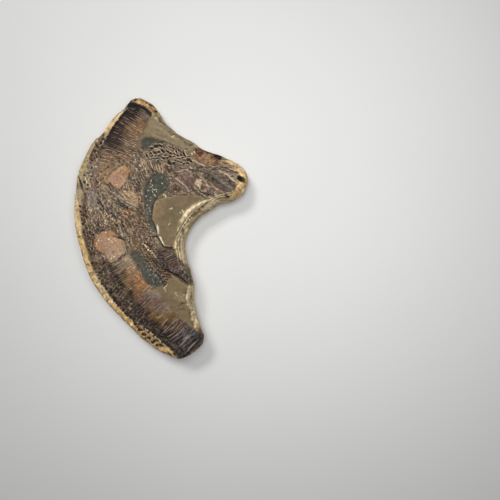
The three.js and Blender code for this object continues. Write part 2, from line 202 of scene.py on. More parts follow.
# The tail fin, the bed of crushed bone in the head, and the bed in the arm
TAIL_FIN = plan("161 247, 169 250, 177 256, 183 263, 188 270, 192 279, 194 285, 187 282, 180 277, "
    "173 273, 166 270, 158 266, 152 260", 1)
HEAD_BED = plan("94 150, 104 153, 114 156, 124 160, 128 162, 134 152, 140 146, 146 148, 147 156, "
    "152 160, 162 162, 175 165, 186 166, 192 166, 205 165, 216 164, 222 166, 232 171, 236 178, "
    "238 187, 232 195, 224 199, 214 199, 200 196, 184 196, 172 196, 163 195, 169 186, 168 178, "
    "161 173, 152 174, 146 182, 143 192, 144 204, 147 214, 152 224, 156 234, 160 246, 150 250, "
    "134 236, 126 256, 120 262, 107 264, 95 264, 87.5 243, 84 218, 84 192, 88 172, 94 160", 1)
ARM_BED = plan("193 149, 202 147, 217 154, 220 162, 230 166, 236 173, 238 186, 232 195, 224 199, "
    "214 199, 203 194, 196 180, 193 165", 1)

# Edges between which rays run: of the fin, the jaw and the cheek, and the fin's lower lobe
FIN_ROOTS = plan("157.5 250, 161 257, 166 264, 173 270")
FIN_ENDS = plan("167.5 246.5, 174 252.5, 179.5 259, 185 265")
FIN_LOBE = plan("174 270, 184 264, 190 273, 193 284, 184 278")
JAW_TOP = plan("149 161, 155 162, 161 163, 167 163.5, 174 165")
JAW_FOOT = plan("153.5 172, 158 173, 163 173, 168 172, 173 170.5")
CHEEK_TOP = plan("139 154, 142 156, 145 157")
CHEEK_FOOT = plan("145 168, 148 170, 151 171")

# Places in the bed of the head where the stone is calm
CALM = [
    plan("196 179, 201 179, 202 185, 199 187, 195 184", 1),
    plan("122 193, 130 190, 138 197, 139 205, 129 203", 1),
    plan("86 189, 94 186, 99 193, 99 206, 91 210, 85 202", 1),
    plan("90 169, 97 168, 99 176, 93 180", 1),
    plan("99 161, 110 160, 121 164, 112 172, 107 182, 101 187, 98 176", 1),
    plan("176 178, 180 172, 188 171, 193 174, 195 180, 194 187, 191 192, 186 192, 182 186, "
        "178 182", 1),
    plan("203 169, 212 169, 220 174, 230 180, 238 187, 236 191, 232 196, 226 194, 218 188, "
        "210 182, 203 177", 1),
    plan("213 192, 219 191, 225 195, 225 200, 216 200", 1),
    plan("195 149, 203 147, 210 151, 217 155, 218 162, 212 166, 204 163, 197 158", 1),
    plan("228 160, 236 163, 246 170, 249 178, 247 188, 240 196, 230 202, 226 199, 233 194, "
        "238 186, 236 176, 230 168", 1),
]

# Places in the bed of the head where it is broken small
RUBBLE = [
    plan("84 150, 103 150, 103 176, 98 190, 84 188"),
    plan("97 186, 108 186, 117 194, 116 208, 108 218, 98 214"),
    plan("84 206, 112 206, 118 222, 112 232, 92 234, 84 224"),
    plan("128 168, 142 166, 142 184, 132 186"),
    plan("96 150, 130 158, 126 166, 98 166"),
]

# Levels of the face that differ from the plain stone: height, softness of the edge, corners
LEVELS = {
    "stone shelf": (1.9, 0.8, [
        (-3, 34), (14, 38), (38, 40), (54, 38), (60, 32), (46, 24), (34, 14), (26, 2), (22, -12),
        (22, -25), (13, -24), (5, -21), (0, -12), (-3, 0), (-8, 12), (-7, 24)]),
    "upper clay": (-1.0, 2.0, [(-20, 108), (-11, 111), (2, 107), (11, 101), (-8, 97), (-19, 94)]),
    "heart clay": (-1.4, 2.0, [
        (-13, 59), (-8, 66), (2, 67), (11, 63), (14, 55), (9, 46), (-1, 39), (-5, 29), (-8, 12),
        (-2, -1), (-5, -8), (-12, 4), (-17, 20), (-18, 46)]),
    "lower clay": (-0.9, 2.0, plan("133 252, 139 252, 146 260, 153 266, 160 269, 165 275, 164 283, "
        "160 287, 150 285, 142 281, 138 272, 134 263, 131 256")),
    "inner shelf": (0.7, 1.6, [
        (12, -57), (25, -64), (38, -73), (38, -86), (41, -112), (40, -124), (24, -113), (10, -98),
        (2, -88), (-3, -74)]),
}

# Loose plates of the head: their edge and how far they dome up
PLATES = [
    (plan("107.5 180, 110 175, 114 170.5, 119 167, 125 165.5, 129 168, 129.5 172, 128 177, "
        "126.5 182, 123 185.5, 119 188.5, 115 187.5, 112 184"), 1.5),
    (plan("94 237, 98 233.5, 105 231.5, 110 230.5, 115 233, 118 237, 122 239.5, 125.5 244, "
        "125 254, 119 258.5, 114 262.5, 109 262, 105 256, 99 251.5, 95 248, 93.5 243"), 2.2),
]
# The eye hole: its middle, its half length and half width, its turn, and its floor's height
EYE = ((101.0, 60), (5.9, 3.7), -0.5, -4.4)

CLAYS = ("upper clay", "heart clay", "lower clay")

# Long bones and cracks in the stone: line along the crest, half width, height
BONES = [
    ([(68, 83), (82, 76), (95, 70)], 2.4, 2.2),
    ([(58, 68), (74, 58), (92, 46)], 2.6, 2.6),
    ([(54, 60), (68, 50), (82, 40)], 2.2, 1.9),
    ([(70, 72), (82, 66), (96, 55)], 2.0, 1.7),
    ([(20, 72), (32, 62), (44, 47)], 2.2, 1.6),
    ([(44, 90), (54, 95), (68, 90)], 2.8, 1.8),
    ([(-56, 42), (-40, 33), (-27, 21)], 2.2, 2.0),
    ([(-46, 45), (-32, 36), (-20, 26)], 2.0, 1.6),
    ([(-62, 33), (-52, 24), (-47, 12)], 2.2, 1.7),
    ([(-70, 40), (-66, 24), (-60, 8)], 2.4, 1.8),
    ([(-86, 38), (-83, 18), (-77, 2)], 2.0, 1.5),
    ([(-36, 79), (-28, 72), (-20, 61)], 2.0, 1.8),
    ([(-29, 85), (-21, 78), (-15, 70)], 1.8, 1.4),
    ([(-50, 15), (-46, 2), (-38, -12)], 1.6, 1.6),
    ([(-86, 122), (-80, 104), (-78, 90)], 2.0, 1.1),
    ([(0, 122), (14, 112), (28, 104)], 2.4, 0.9),
]
CRACKS = [
    ([(-97, 61), (-94, 50), (-91, 42)], 1.4, -1.6),
    ([(-14, -12), (-2, -12), (5, -22), (18, -26)], 1.2, -1.6),
    ([(6, -49), (18, -57), (30, -66), (42, -74)], 1.4, -1.9),
    ([(-6, 103), (6, 105), (18, 101)], 1.6, -1.7),
    ([(42, 91), (47, 83), (54, 74)], 1.3, -1.1),
]
# Lumps at the upper tip: middle, height
TIP_LUMPS = [((-24, 151), 2.2), ((-14, 151), 1.6), ((-31, 154), 1.2)]

# ---------------------------------------------------------------- colours, as day light shows them
TONES = {
    "marl": (113, 97, 72),
    "pale marl": (143, 129, 103),
    "olive": (118, 104, 72),
    "clay": (82, 81, 69),
    "dark clay": (62, 66, 60),
    "gold": (208, 172, 114),
    "honey": (218, 182, 130),
    "ash": (168, 150, 130),
    "pale ash": (192, 176, 152),
    "sepia": (62, 51, 43),
    "ochre": (178, 144, 98),
    "cream": (218, 197, 160),
    "straw": (176, 158, 116),
    "chalk": (226, 214, 186),
    "salmon": (170, 131, 103),
    "orange": (164, 117, 75),
    "pink": (168, 131, 106),
    "peach": (164, 133, 108),
    "tan": (152, 122, 90),
    "bone": (158, 138, 112),
    "grey bone": (134, 120, 102),
    "brown": (108, 82, 60),
    "umber": (84, 62, 46),
    "soot": (52, 44, 40),
    "black": (34, 28, 27),
    "plum": (84, 66, 64),
    "mauve": (122, 95, 83),
    "lavender": (150, 134, 130),
    "rust": (138, 102, 74),
    "dark rust": (88, 48, 34),
    "slate": (94, 92, 92),
    "amber": (134, 100, 58),
    "moss": (66, 68, 50),
}

SHARD_TONES = ["grey bone", "tan", "umber", "ash", "moss", "bone", "mauve", "ash", "bone", "tan"]

# Areas of colour: tone, softness of the edge, strength, corners
AREAS = [
    *table("""
pale marl 4 0.5: 152 111,158 114,163 124,170 132,180 139,192 146,194 152,183 150,170 145,160 139,
 150 136,143 138,148 126;
olive 3 0.25: 143 112,152 116,155 130,146 138,140 134;
""", 1),
    ("grey bone", 3, 0.9, HEAD_BED),
    *table("""
tan 3 0.7: 97 146,118 150,132 158,128 166,118 172,108 172,100 168;
brown 2 0.5: 99 152,116 155,118 160,100 159;
olive 2.5 0.5: 98 163,106 162,110 166,106 178,101 186,97 178;
moss 3 0.7: 98 186,108 188,114 194,116 206,110 216,102 214,99 204,101 196;
brown 3 0.5: 93 212,104 214,116 222,120 232,112 229,103 229,94 234,91 224;
moss 3 0.45: 129 158,140 154,146 160,148 172,142 184,132 186,130 174;
brown 3 0.5: 119 207,134 207,142 214,146 226,136 226,126 220,120 214;
sepia 2 0.5: 144 159,152 161,176 167,190 167,192 171,176 172,160 174,150 172;
straw 2 0.8: 128 107,124 113,116 121,110 128,105 136,101 148,97 152,92 158,86 168,83 178,78 184,
 74 184,76 172,82 158,92 142,104 130,116 116,126 106;
grey bone 2 0.8: 104 136,108 134,110 142,106 152,102 160,96 170,88 180,84 190,80 190,82 178,88 166,
 94 154,100 144;
bone 3 0.6: 112 150,122 153,126 159,118 162,112 158;
mauve 3 0.7: 88 162,97 158,100 166,99 178,93 186,85 188,84 176;
tan 2 0.95: 100 168,108 164,112 170,108 182,104 190,99 188;
amber 2 0.4: 106 166,112 162,118 163,112 170,107 174;
lavender 2 0.3: 88 190,94 188,99 194,98 206,91 209,87 201;
umber 2 0.8: 78 190,86 196,89 214,92 230,96 246,107 252,108 264,93 264,87 246,82.5 230,80 214;
clay 3 0.9: 142 139,150 137,160 140,168 145,152 148,143 150,139 148;
clay 2.4 0.98: 148 180,152 174,160 173,168 176,170 183,166 190,158 196,155 204,153 212,152 219,
 157 229,160 238,155 236,149 225,146 212,144 200,144 190;
dark clay 3 0.6: 150 180,158 176,166 178,166 186,158 192,150 196,147 206,146 196;
dark clay 2.5 0.55: 143 139,150 138,158 140,164 144,152 147,144 149;
clay 3.2 0.9: 132 251,139 251,146 259,153 266,160 269,166 275,164 284,160 288,150 287,143 283,
 137 273,133 264,130 256;
dark clay 3 0.85: 144 264,154 268,163 277,162 286,152 285,144 278;
marl 1 0.95: 156 200,170 197,190 195,203 196,215 199,210 200,201 204,194 207.5,186 214,182 223,
 178 231,177 239,179 248,171 247,164 246,159 238,156 228,152 218,153 208;
tan 5 0.35: 154 202,164 199,166 214,158 220,153 216;
marl 2 0.9: 168 273,178 279,192 288,193 298,195 310,197 322,190 322,182 316,174 309,168 300,163 292,
 163 284;
olive 3 0.3: 170 280,180 286,178 296,168 296;
pale marl 2 0.35: 172 292,182 291,188 298,184 303,176 301;
cream 1.5 0.8: 188 285,194 286,195 300,198 316,200 327,194 326,190 312,187 298;
rust 2.4 0.8: 194 150,200 148,208 150,218 155,217 164,211 168,202 163,194 158;
tan 1.5 0.6: 202 153,209 155,212 160,206 162,202 159;
brown 2.5 0.35: 194 150,203 148,214 154,216 163,210 167,200 163;
dark rust 1.2 0.9: 195 149,203 147,205 151,201 157,197 156;
black 0.7 0.98: 205 151,209 148,215 150,222 157,221 158,214 156,209 154;
dark rust 1 0.7: 214 156,218.5 157,218 164,215 166;
tan 2 0.7: 219 160,230 161,240 166,236 170,226 168,219 166;
bone 1.5 0.75: 219 170,226 171,233 173,238 175,241 181,240 187,236 184,229 178,221 174;
honey 1.4 0.95: 227 158,238 162,246 168,250 177,248 187,242 195,234 201,225 203,225 199,232 196,
 238 188,240 180,239 172,233 167,226 162;
dark rust 0.9 0.75: 215 165,221 166,226 170,222 171,216 169;
soot 2 0.75: 204 169,215 172,228 179,238 187,236 195,229 197,222 190,212 184,204 178;
slate 2 0.6: 214 175,226 181,234 188,231 194,221 186;
umber 1 0.7: 235 185,240 187,240 191,236 192;
mauve 1.5 0.8: 204 184,212 183,216 190,211 195,204 192;
bone 1.8 0.7: 213 191,219 190,225 194,224 199,215 199;
mauve 2 0.9: 174 176,184 171,193 172,197 180,198 188,192 192,184 195,174 193,171 185;
plum 3 0.45: 183 180,192 178,196 186,190 191,184 188;
cream 1 0.95: 196 179,201 179,202 185,199 187,195 184;
salmon 2.2 0.9: 107 180,110 174,119 166,126 165,130 171,127 183,119 189,112 186;
orange 2.5 0.95: 121 167,129 166,130 175,125 178,120 174;
rust 2.5 0.55: 121 167,129 166,130 175,125 178,120 174;
pink 2.5 0.8: 110 176,116 171,122 176,118 185,110 182;
salmon 2.2 0.9: 98 238,106 232,114 232,119 238,123 243,124 253,119 259,111 263,102 257,95 249;
orange 2 0.85: 100 235,107 231,115 232,118 237,109 236;
orange 2 0.9: 93 240,99 237,99 249,96 250;
amber 2 0.3: 93 238,98 237,98 247,95 249;
""", 1),
    ("umber", 3, 0.35, TAIL_FIN),
    *table("""
tan 3 0.6: 110 150,122 150,125 157,117 161,110 159;
pink 2.5 0.7: 99 237,107 237,114 244,107 250,100 246;
bone 3 0.7: 105 250,113 246,123 246,124 254,117 260,108 261;
orange 2 0.85: 120 208,132 208,138 213,134 218,128 219,121 215;
bone 2 0.9: 118 192,130 188,140 196,140 208,128 206,119 198;
tan 2 0.6: 122 190,134 192,138 203,128 200;
honey 2 0.5: 120 192,130 188,139 196,139 207,128 204,120 198;
dark clay 1.5 0.6: 131 171,136 170,139 175,136 180,132 178;
slate 1.5 0.5: 109 164,114 162,117 165,113 168,109 167;
rust 2 0.3: 93 238,98 237,100 249,95 250;
ochre 1.2 0.9: 135 101,138 98,142 98,148 101,154 107,157 111,152 111,146 108,140 104;
straw 2 0.7: 150 110,156 111,160 117,158 121,152 116;
""", 1),
]

# Areas of colour that reach over the rind to the girth
RIM_AREAS = table("""
grey bone 2 0.9: 104 136,108 134,110 142,106 152,102 160,96 170,88 180,84 190,80 190,82 178,88 166,
 94 154,100 144;
brown 2 0.35: 104 138,107 136,108 143,104 153,99 162,94 170,90 168,95 156,100 146;
honey 1 0.9: 131 105,127 108,119 113,112 119,105 128,104 134,109 130,115 124,122 117,128 111;
ochre 0.8 0.9: 135 102,138 98.5,142 98.5,145 102,141 104,137 104;
ochre 1.2 0.9: 142 99,148 100,155 106,158 111,152 112,146 108,140 104;
orange 1.4 0.4: 146 104,152 106,156 111,152 112,148 109;
black 0.9 0.95: 130 104,134 102,137 104,143 106,149 109,152 113,151 117,147 115,141 112,135 109,
 129 110,127 108;
black 1.4 0.95: 129 101,136 104,131 113,125 121,118 129,113 135,111 131,115 124,121 116,125 108;
ochre 1.5 0.5: 132 321,141 323,150 330,158 337,165 344,176 352,172 358,158 352,146 343,134 330;
cream 2.5 0.3: 70 188,83 190,82 214,84 230,74 236,70 214;
cream 2.5 0.35: 90 270,100 272,108 286,118 302,108 306,96 290;
cream 1.5 0.75: 181 236,184 236,183 250,185 262,188 270,186 274,181 262,179 248;
cream 1.5 0.95: 189 286,197 286,198 300,201 316,203 326,196 327,191 312;
plum 2 0.8: 172 352,176 346,190 334,201 329,205 330,207 340,203 347,192 356,184 361,178 360;
soot 2 0.8: 178 350,186 346,200 340,206 343,198 352,184 362,176 359;
black 0.7 0.98: 205 151,209 147,215 148.5,222 155,221 158,214 156,209 154;
honey 1.4 0.95: 227 157,238 160,248 166,254 177,251 190,243 199,234 205,224 206,224 200,232 196,
 237 188,240 180,239 172,233 167,226 162;
cream 1.2 0.6: 230 159,240 162,249 169,247 172,240 168,231 164;
cream 1.5 0.9: 251 180,249 192,240 201,226 207,226 201,238 195,245 184;
pale marl 1.5 0.7: 158 108,164 116,172 127,182 135,193 142,206 149,204 150,192 146,181 139,170 131,
 162 122,156 112;
""", 1)

# Colour down the length of a run of flank scales, along its inner and its outer part
UPPER_INNER = [
    (0, "grey bone"), (0.2, "rust"), (0.35, "tan"), (0.5, "peach"), (0.65, "bone"), (0.8, "peach"),
    (1, "tan")]
UPPER_OUTER = [
    (0, "black"), (0.14, "soot"), (0.3, "plum"), (0.45, "umber"), (0.7, "plum"), (0.85, "brown"),
    (1, "tan")]
LOWER_INNER = [
    (0, "ash"), (0.08, "bone"), (0.16, "tan"), (0.27, "orange"), (0.35, "tan"), (0.43, "grey bone"),
    (0.52, "mauve"), (0.6, "grey bone"), (0.66, "amber"), (0.76, "brown"), (0.83, "plum"),
    (0.92, "slate"), (1, "soot")]
LOWER_OUTER = [
    (0, "grey bone"), (0.12, "brown"), (0.22, "tan"), (0.32, "rust"), (0.45, "mauve"),
    (0.55, "amber"), (0.68, "umber"), (0.78, "soot"), (0.9, "plum"), (1, "black")]

# Lines in the stone: tone, half width, height above it (or depth below), strength, course
# The black lines in grooves under the tail fin's lower edge and under the marl's ledge by the tail,
# and the soot grooves beside the arm's pale ridge, are dark cracks and painted shadow of the raised
# parts beside them.
LINES = table("""
black 1.5 0.5 0.97: 133 103.5,140 107,147 110.5,150 114;
black 1.5 0.3 0.95: 131 105,127 110,123 115;
black 0.6 0.2 0.9: 136 101,138 99.5;
straw 0.6 0.9 0.9: 110 130,106 136,103 143,101 149;
cream 1 0.3 0.7: 127 108,119 115.5,112 122,106 129;
gold 0.8 0.2 0.6: 121 116,114 123;
straw 0.8 0.5 0.8: 86 168,88 178,91 188;
straw 0.6 0.4 0.7: 80 190,80 202,80 212;
black 0.9 -1 0.9: 78.5 176,80 182,82 189;
cream 0.6 0.6 0.7: 85 176,86 182,88 187;
bone 0.6 0.7 0.8: 130 165,134 170,138 176;
bone 0.8 0.9 0.85: 141 162,145 169,149 176;
bone 0.6 0.8 0.8: 136 168,139 173;
pale ash 0.6 0.8 0.85: 193 160,198 163,205 166;
pale ash 0.7 0.8 0.9: 211 166.5,216 166.5,224 167.5,231 169.5,237 171;
soot 0.6 -0.9 0.9: 216 166,224 167.5,231 170,237 173.5;
soot 0.5 -0.8 0.9: 226 165,233 166,241 167;
umber 0.5 -0.6 0.8: 222 163,230 163.5;
brown 0.6 -0.3 0.45: 152 133,158 134.5,166 137;
brown 0.5 -0.3 0.4: 154 129,160 130.5,165 131;
olive 0.8 -0.3 0.5: 170 143,176 147,181 150;
pale ash 0.7 0.8 0.85: 220 171.5,228 176,236 183;
umber 0.6 -0.6 0.8: 224 170,231 172.5,237 176.5;
dark rust 0.7 -0.5 0.8: 206 181,213 185,220 190;
ash 0.5 0.6 0.8: 202 178,208 185,213 192;
black 0.8 -0.8 0.85: 203 192,208 194.5,214 193.5;
black 0.8 -0.7 0.9: 225 195,230 198;
pale ash 0.45 0.7 0.9: 176.5 178,180 182,185 186,190 191;
umber 0.7 -0.7 0.8: 181 195.5,185 194.5,188 192.5;
umber 0.8 -0.6 0.7: 190 192,195 191,198 188;
ash 0.7 0.6 0.7: 180 171.5,186 170,191 172.5;
bone 0.7 0.6 0.8: 170 173,173 175,176 174;
pale ash 1.3 0.8 0.95: 215 199,209 200.5,202 203,196 206.5;
cream 3 1 0.98: 201 203.5,196 206.5,190 211,185 217.5,182 222;
cream 1 0.5 0.85: 181.5 240,182 250,184 259,187 267;
pale ash 1 0.6 0.9: 182 222,180.5 229,178.5 236,177.5 240;
cream 1.2 0.8 0.9: 224 201,216 203,209 206,203 209.5;
umber 0.7 -0.8 0.7: 214 202,206 205.5,199 209,193 214;
straw 0.9 0.5 0.7: 202 210,195 215.5,190 221,187 228;
umber 0.6 -0.6 0.6: 190 217,186 223,183 231,182 240;
chalk 0.6 0.5 0.9: 160.5 237,162.5 241,165 245.5;
black 0.8 -1.2 0.95: 148.5 237,153 236.2,157 236.5,160 240,163 245.5,168 247.3,173 247.5;
ash 0.9 0.8 0.9: 118 197,124 200,130 203.5,136 207;
ash 0.5 0.7 0.8: 121 195,128 199,136 204.5;
soot 0.6 -0.9 0.9: 117 201,121 203,126 205.5;
black 0.5 -0.8 0.9: 120 206,125 207,131 209.5;
umber 0.8 -0.8 0.85: 123 213,129 215,134 218;
orange 1 0.8 0.8: 121 211,127 210,133 213;
black 1 -1 0.9: 110 212,113 214,116 219;
soot 1.3 -0.6 0.85: 120 219,122.5 225,125.5 232;
bone 0.6 0.9 0.85: 117.5 221,120 228,123.5 235;
bone 0.6 0.9 0.85: 123.5 219,126 226,129 233;
bone 0.7 0.8 0.85: 126 233,128 237,130.5 241,133 246;
cream 0.7 0.6 0.85: 142.5 243,148 248.5,152 253,156 257.5;
tan 1.1 0.9 0.8: 101 213,104 217,108 222;
black 1 -1 0.9: 97 198,101 203,104 209;
bone 0.5 0.7 0.8: 101 184,106 191,111 196;
bone 0.5 0.7 0.8: 99 188,104 195,109 200;
soot 0.9 -0.8 0.85: 113 236,119 238,124 240;
umber 0.8 -0.8 0.8: 99 234,105 229.5,113 229.5,119 234;
umber 0.6 -0.5 0.8: 130 174,129 180,125 186;
soot 1 -1.2 0.9: 135.5 187.5,138 191.5;
black 1.3 -1.6 0.95: 166 269.5,171 272,177 275.5,184 280.5,192 286.5;
plum 0.9 -0.5 0.85: 124 259,130 268,137 278,145 286,152 290;
cream 0.7 0.3 0.5: 138.5 268,140.5 273,142 277;
straw 0.9 0.6 0.8: 140 322,147 329,155 337,161 342,166 346;
pale ash 0.6 0.4 0.7: 167 284,164.5 288,166 292;
cream 0.6 0.4 0.8: 191.5 286,192.5 298,194.5 312,198 326;
umber 0.4 -0.4 0.6: 190 286,190.5 298,192.5 312,196 327;
straw 0.6 0.5 0.7: 188 296,190 308,192 320,194 328;
tan 0.5 0.3 0.8: 190 355,197 350,203 342;
bone 0.4 0.3 0.7: 186 356,194 351,201 343;
umber 0.6 -0.7 0.7: 178 306,184 303,188 303;
umber 0.5 -0.5 0.6: 176 311,182 309,186 310;
soot 0.7 -0.7 0.8: 186 324,190 330,196 333;
""")

# Spots in the stone: tone, half width, height or depth, middles
SPOTS = table("""
dark rust 1.2 -0.5: 196 151,200 150,203 152,216 157,217.5 161,215 165,199 154,213 157;
tan 1.5 0.5: 203 156,207 158,200 158,210 161,206 162,209 156,213 161;
brown 1.2 -0.4: 197 156,204 159.5,208 163,202 154,211 158;
black 1.7 -1.5: 97 146,101 143,99 152.5,104 139.5,95 151,103.5 148;
black 1.1 -1.1: 90.5 163,92 168,92 176,87.5 173,84 175,96 156,101 157,94.5 158;
dark rust 1.3 -1.1: 87.5 189,85 194;
black 1.5 -1.2: 87.5 185,96 184,97.5 187,84 182;
umber 1.1 -0.9: 101 172,103 178,106 175,104 184,100 180,108 167,109 173,112 165,98 176;
moss 1.8 -0.6: 125 142.5,122 148,127 140.5,120.5 151;
soot 1.5 -1.1: 98 193,101 197,98 203,103 206,107 211,112 216,100 209,106 203;
soot 1.1 -1: 141 196,139.5 199,142 202,139.5 205,141.5 208,143 211,141 214;
soot 1.1 -1: 127 208,116 209,119 213,125 202,112 206,109 218,113 222,117 226;
chalk 0.8 0.6: 106 221,109 225.5,94 248,99.5 240.5,110 239,113 242;
moss 1.7 -0.7: 108 227,112 228,110 224;
chalk 0.5 0.5: 152 185,161 183,148 190.5,146 196,150 200;
ash 0.6 0.3: 147 262,149 266,151 270,146 259,153 274,156 276,152 279,158 280,150 275,148 270,
 155 271,157 273,160 281,154 282,145 256,142 255;
lavender 1 0.3: 147 205,149 208,150 211,147 213,151 214;
chalk 0.8 0.5: 172 208.5,170 209,165.5 196,163.5 195,181 213,183 211;
ash 0.5 0.3: 157.5 278,160 282,155 276,161 276,150 270,154 272,144 262,146 266,149 275,152 280,
 147 271,157 282;
pale ash 0.7 0.5: 186 299,189 302,190 305,187 297,184 295,176 293;
pale marl 1 0.3: 178 297,181 296,175 298,180 300;
chalk 0.8 0.4: 192 153.5,194.5 152,112 258.5,115 257,148 250,146 246,143 243;
moss 1.9 -1: 169 161,198 168,201 167,200 172,206 178,209 176,213 180;
black 0.9 -1: 229.5 181,231 183,245 184;
moss 1.2 -0.6: 241 180,239.5 178;
umber 1.1 -0.8: 173 191,166 190,171 187,176 189;
black 1.4 -0.9: 129 214,132 216,139 224,143 228,140 231;
black 1.3 0.5: 140 328,146 335,150 337,154 341,159 344,163 345.5,168 353,171 355;
moss 1.5 -0.7: 101 273,106 288,126 303,105 283;
gold 0.9 0.5: 126 260,111 262.5,114 261.5,109 273,110 276;
mauve 1.6 0.1: 107 272,109 274;
umber 1 -0.7: 84 205,86 211,84 218,88 216,91 222,90 229,94 231,95 238,90 237;
umber 0.9 -0.7: 97 213,102 225,99 229,104 231,96 222,108 232,93 214,99 219;
cream 0.8 0.5: 238 163,247 174,235 199,242 191,231 161;
""")


# ---------------------------------------------------------------- noise and curves
NEAR_BY = 9.0  # how near an edge the distance to it is worked out, in mm
FAR_OFF = -99.0  # what stands for the distance anywhere else


def chance(i, j=0.0, seed=0.0):
    """A repeatable number from 0 to 1 for each pair of numbers."""
    s = np.sin(i * 127.1 + j * 311.7 + seed * 74.7) * 43758.5453
    return s - np.floor(s)


def wobble(x, y, reach, seeds):
    """Places moved a little, so that what is laid out by them has an uneven edge."""
    a, b, c, d = seeds
    east = x + reach * drift(x, y, 4.0, a) + 0.5 * drift(x, y, 1.6, b)
    return east, y + reach * drift(x, y, 4.0, c) + 0.5 * drift(x, y, 1.6, d)


def drift(x, y, size, seed):
    """Smooth noise from -1 to 1, its lumps about `size` mm across; each seed is another pattern."""
    turn = seed * 0.83
    u = (x * math.cos(turn) - y * math.sin(turn)) / size
    v = (x * math.sin(turn) + y * math.cos(turn)) / size
    i, j = np.floor(u), np.floor(v)
    u, v = u - i, v - j
    u, v = u * u * (3 - 2 * u), v * v * (3 - 2 * v)
    low = chance(i, j, seed) * (1 - u) + chance(i + 1, j, seed) * u
    high = chance(i, j + 1, seed) * (1 - u) + chance(i + 1, j + 1, seed) * u
    return 2 * (low * (1 - v) + high * v) - 1


def crumble(x, y, size, seed, levels=3):
    """Noise of several sizes together, each half the last."""
    total = sum(drift(x, y, size / 2**k, seed + k) / 2**k for k in range(levels))
    return total / (2 - 0.5 ** (levels - 1))


def smooth(low, high, v):
    """0 up to low, 1 from high on, and an even slope between them; high may be the lower one."""
    t = np.clip((v - low) / (high - low), 0, 1)
    return t * t * (3 - 2 * t)


def run_along(line):
    """The distance along a line at each of its corners."""
    return np.concatenate([[0], np.cumsum(np.hypot(*np.diff(line[:, :2], axis=0).T))])


def point_at(line, at):
    """The point of a line at a place counted in corners."""
    return np.array([np.interp(at, range(len(line)), column) for column in line.T])


def curve_through(points, step, closed=False):
    """Evenly spaced points, about `step` apart, on a smooth curve through rows of numbers."""
    p = np.array(points, float)
    if closed:
        ring = np.vstack([p[-1], p, p[:2]])
    else:
        ring = np.vstack([2 * p[0] - p[1], p, 2 * p[-1] - p[-2]])
    path = []
    t = np.linspace(0, 1, 16, endpoint=False)[:, None]
    for a, b, c, d in zip(ring, ring[1:], ring[2:], ring[3:]):
        ab, bc, cd = (np.hypot(*(q - r)[:2]) ** 0.5 for q, r in ((b, a), (c, b), (d, c)))
        leave = ((b - a) / ab - (c - a) / (ab + bc) + (c - b) / bc) * bc
        reach = ((c - b) / bc - (d - b) / (bc + cd) + (d - c) / cd) * bc
        path.append(
            b + leave * t
            + (3 * (c - b) - 2 * leave - reach) * t**2
            + (leave + reach - 2 * (c - b)) * t**3
        )
    path = np.vstack([*path, p[:1] if closed else p[-1:]])
    run = run_along(path)
    count = max(2, round(run[-1] / step))
    at = np.linspace(0, run[-1], count + 1)
    even = np.stack([np.interp(at, run, column) for column in path.T], 1)
    return even[:-1] if closed else even


def nearest_on(line, x, y):
    """Distance from each point to a line of corners, and the share of its length there."""
    line = np.asarray(line, float)
    steps = np.hypot(*np.diff(line[:, :2], axis=0).T)
    run = np.concatenate([[0], np.cumsum(steps)]) / steps.sum()
    best = np.full(x.shape, np.inf)
    share = np.zeros(x.shape)
    for a, b, start, end in zip(line, line[1:], run, run[1:]):
        dx, dy = b[0] - a[0], b[1] - a[1]
        t = np.clip(((x - a[0]) * dx + (y - a[1]) * dy) / (dx * dx + dy * dy), 0, 1)
        away = np.hypot(a[0] + dx * t - x, a[1] + dy * t - y)
        nearer = away < best
        best = np.where(nearer, away, best)
        share = np.where(nearer, start + (end - start) * t, share)
    return best, share


def is_inside(edge, x, y):
    """Whether each point lies inside a closed edge."""
    inside = np.zeros(x.shape, bool)
    for (ax, ay), (bx, by) in zip(edge, np.roll(edge, -1, axis=0)):
        if ay == by:
            continue
        inside ^= ((ay > y) != (by > y)) & (x < (bx - ax) * (y - ay) / (by - ay) + ax)
    return inside


def depth_in(edge, x, y):
    """Signed distance in mm to a closed edge, more than 0 inside; worked out near it only."""
    edge = np.asarray(edge, float)[:, :2]
    depth = np.full(x.shape, FAR_OFF)
    low, high = edge.min(0) - NEAR_BY, edge.max(0) + NEAR_BY
    near = (x > low[0]) & (x < high[0]) & (y > low[1]) & (y < high[1])
    if near.any():
        away, _ = nearest_on(np.vstack([edge, edge[:1]]), x[near], y[near])
        depth[near] = np.where(is_inside(edge, x[near], y[near]), away, -away)
    return depth


def edges_of(band, step=3.0):
    """The outer and the inner edge of a band as equally many points, the ends of its rungs."""
    outer, inner = np.array(band["outer"], float), np.array(band["inner"], float)
    line = curve_through(np.hstack([(outer + inner) / 2, outer]), step)
    return line[:, 2:], 2 * line[:, :2] - line[:, 2:]


def band_corners(band):
    """A band as one closed edge."""
    outer, inner = edges_of(band)
    return np.vstack([outer, inner[::-1]])


def place_in_band(band, x, y):
    """How far along a band and how far across it each point lies, both 0 to 1 inside it."""
    outer, inner = edges_of(band, 2.0)
    count = len(outer)
    middle = (outer + inner) / 2
    _, share = nearest_on(middle, x, y)
    along = share * (count - 1)
    for _ in range(6):
        k = np.clip(np.floor(along).astype(int), 0, count - 2)
        t = (along - k)[:, None]
        a = outer[k] * (1 - t) + outer[k + 1] * t
        b = inner[k] * (1 - t) + inner[k + 1] * t
        rung = b - a
        ahead = middle[k + 1] - middle[k]
        off = (x - a[:, 0]) * rung[:, 1] - (y - a[:, 1]) * rung[:, 0]
        pitch = ahead[:, 0] * rung[:, 1] - ahead[:, 1] * rung[:, 0]
        along = along + np.clip(off / pitch, -2, 2)
    across = ((x - a[:, 0]) * rung[:, 0] + (y - a[:, 1]) * rung[:, 1]) / (rung**2).sum(1)
    return along / (count - 1), across


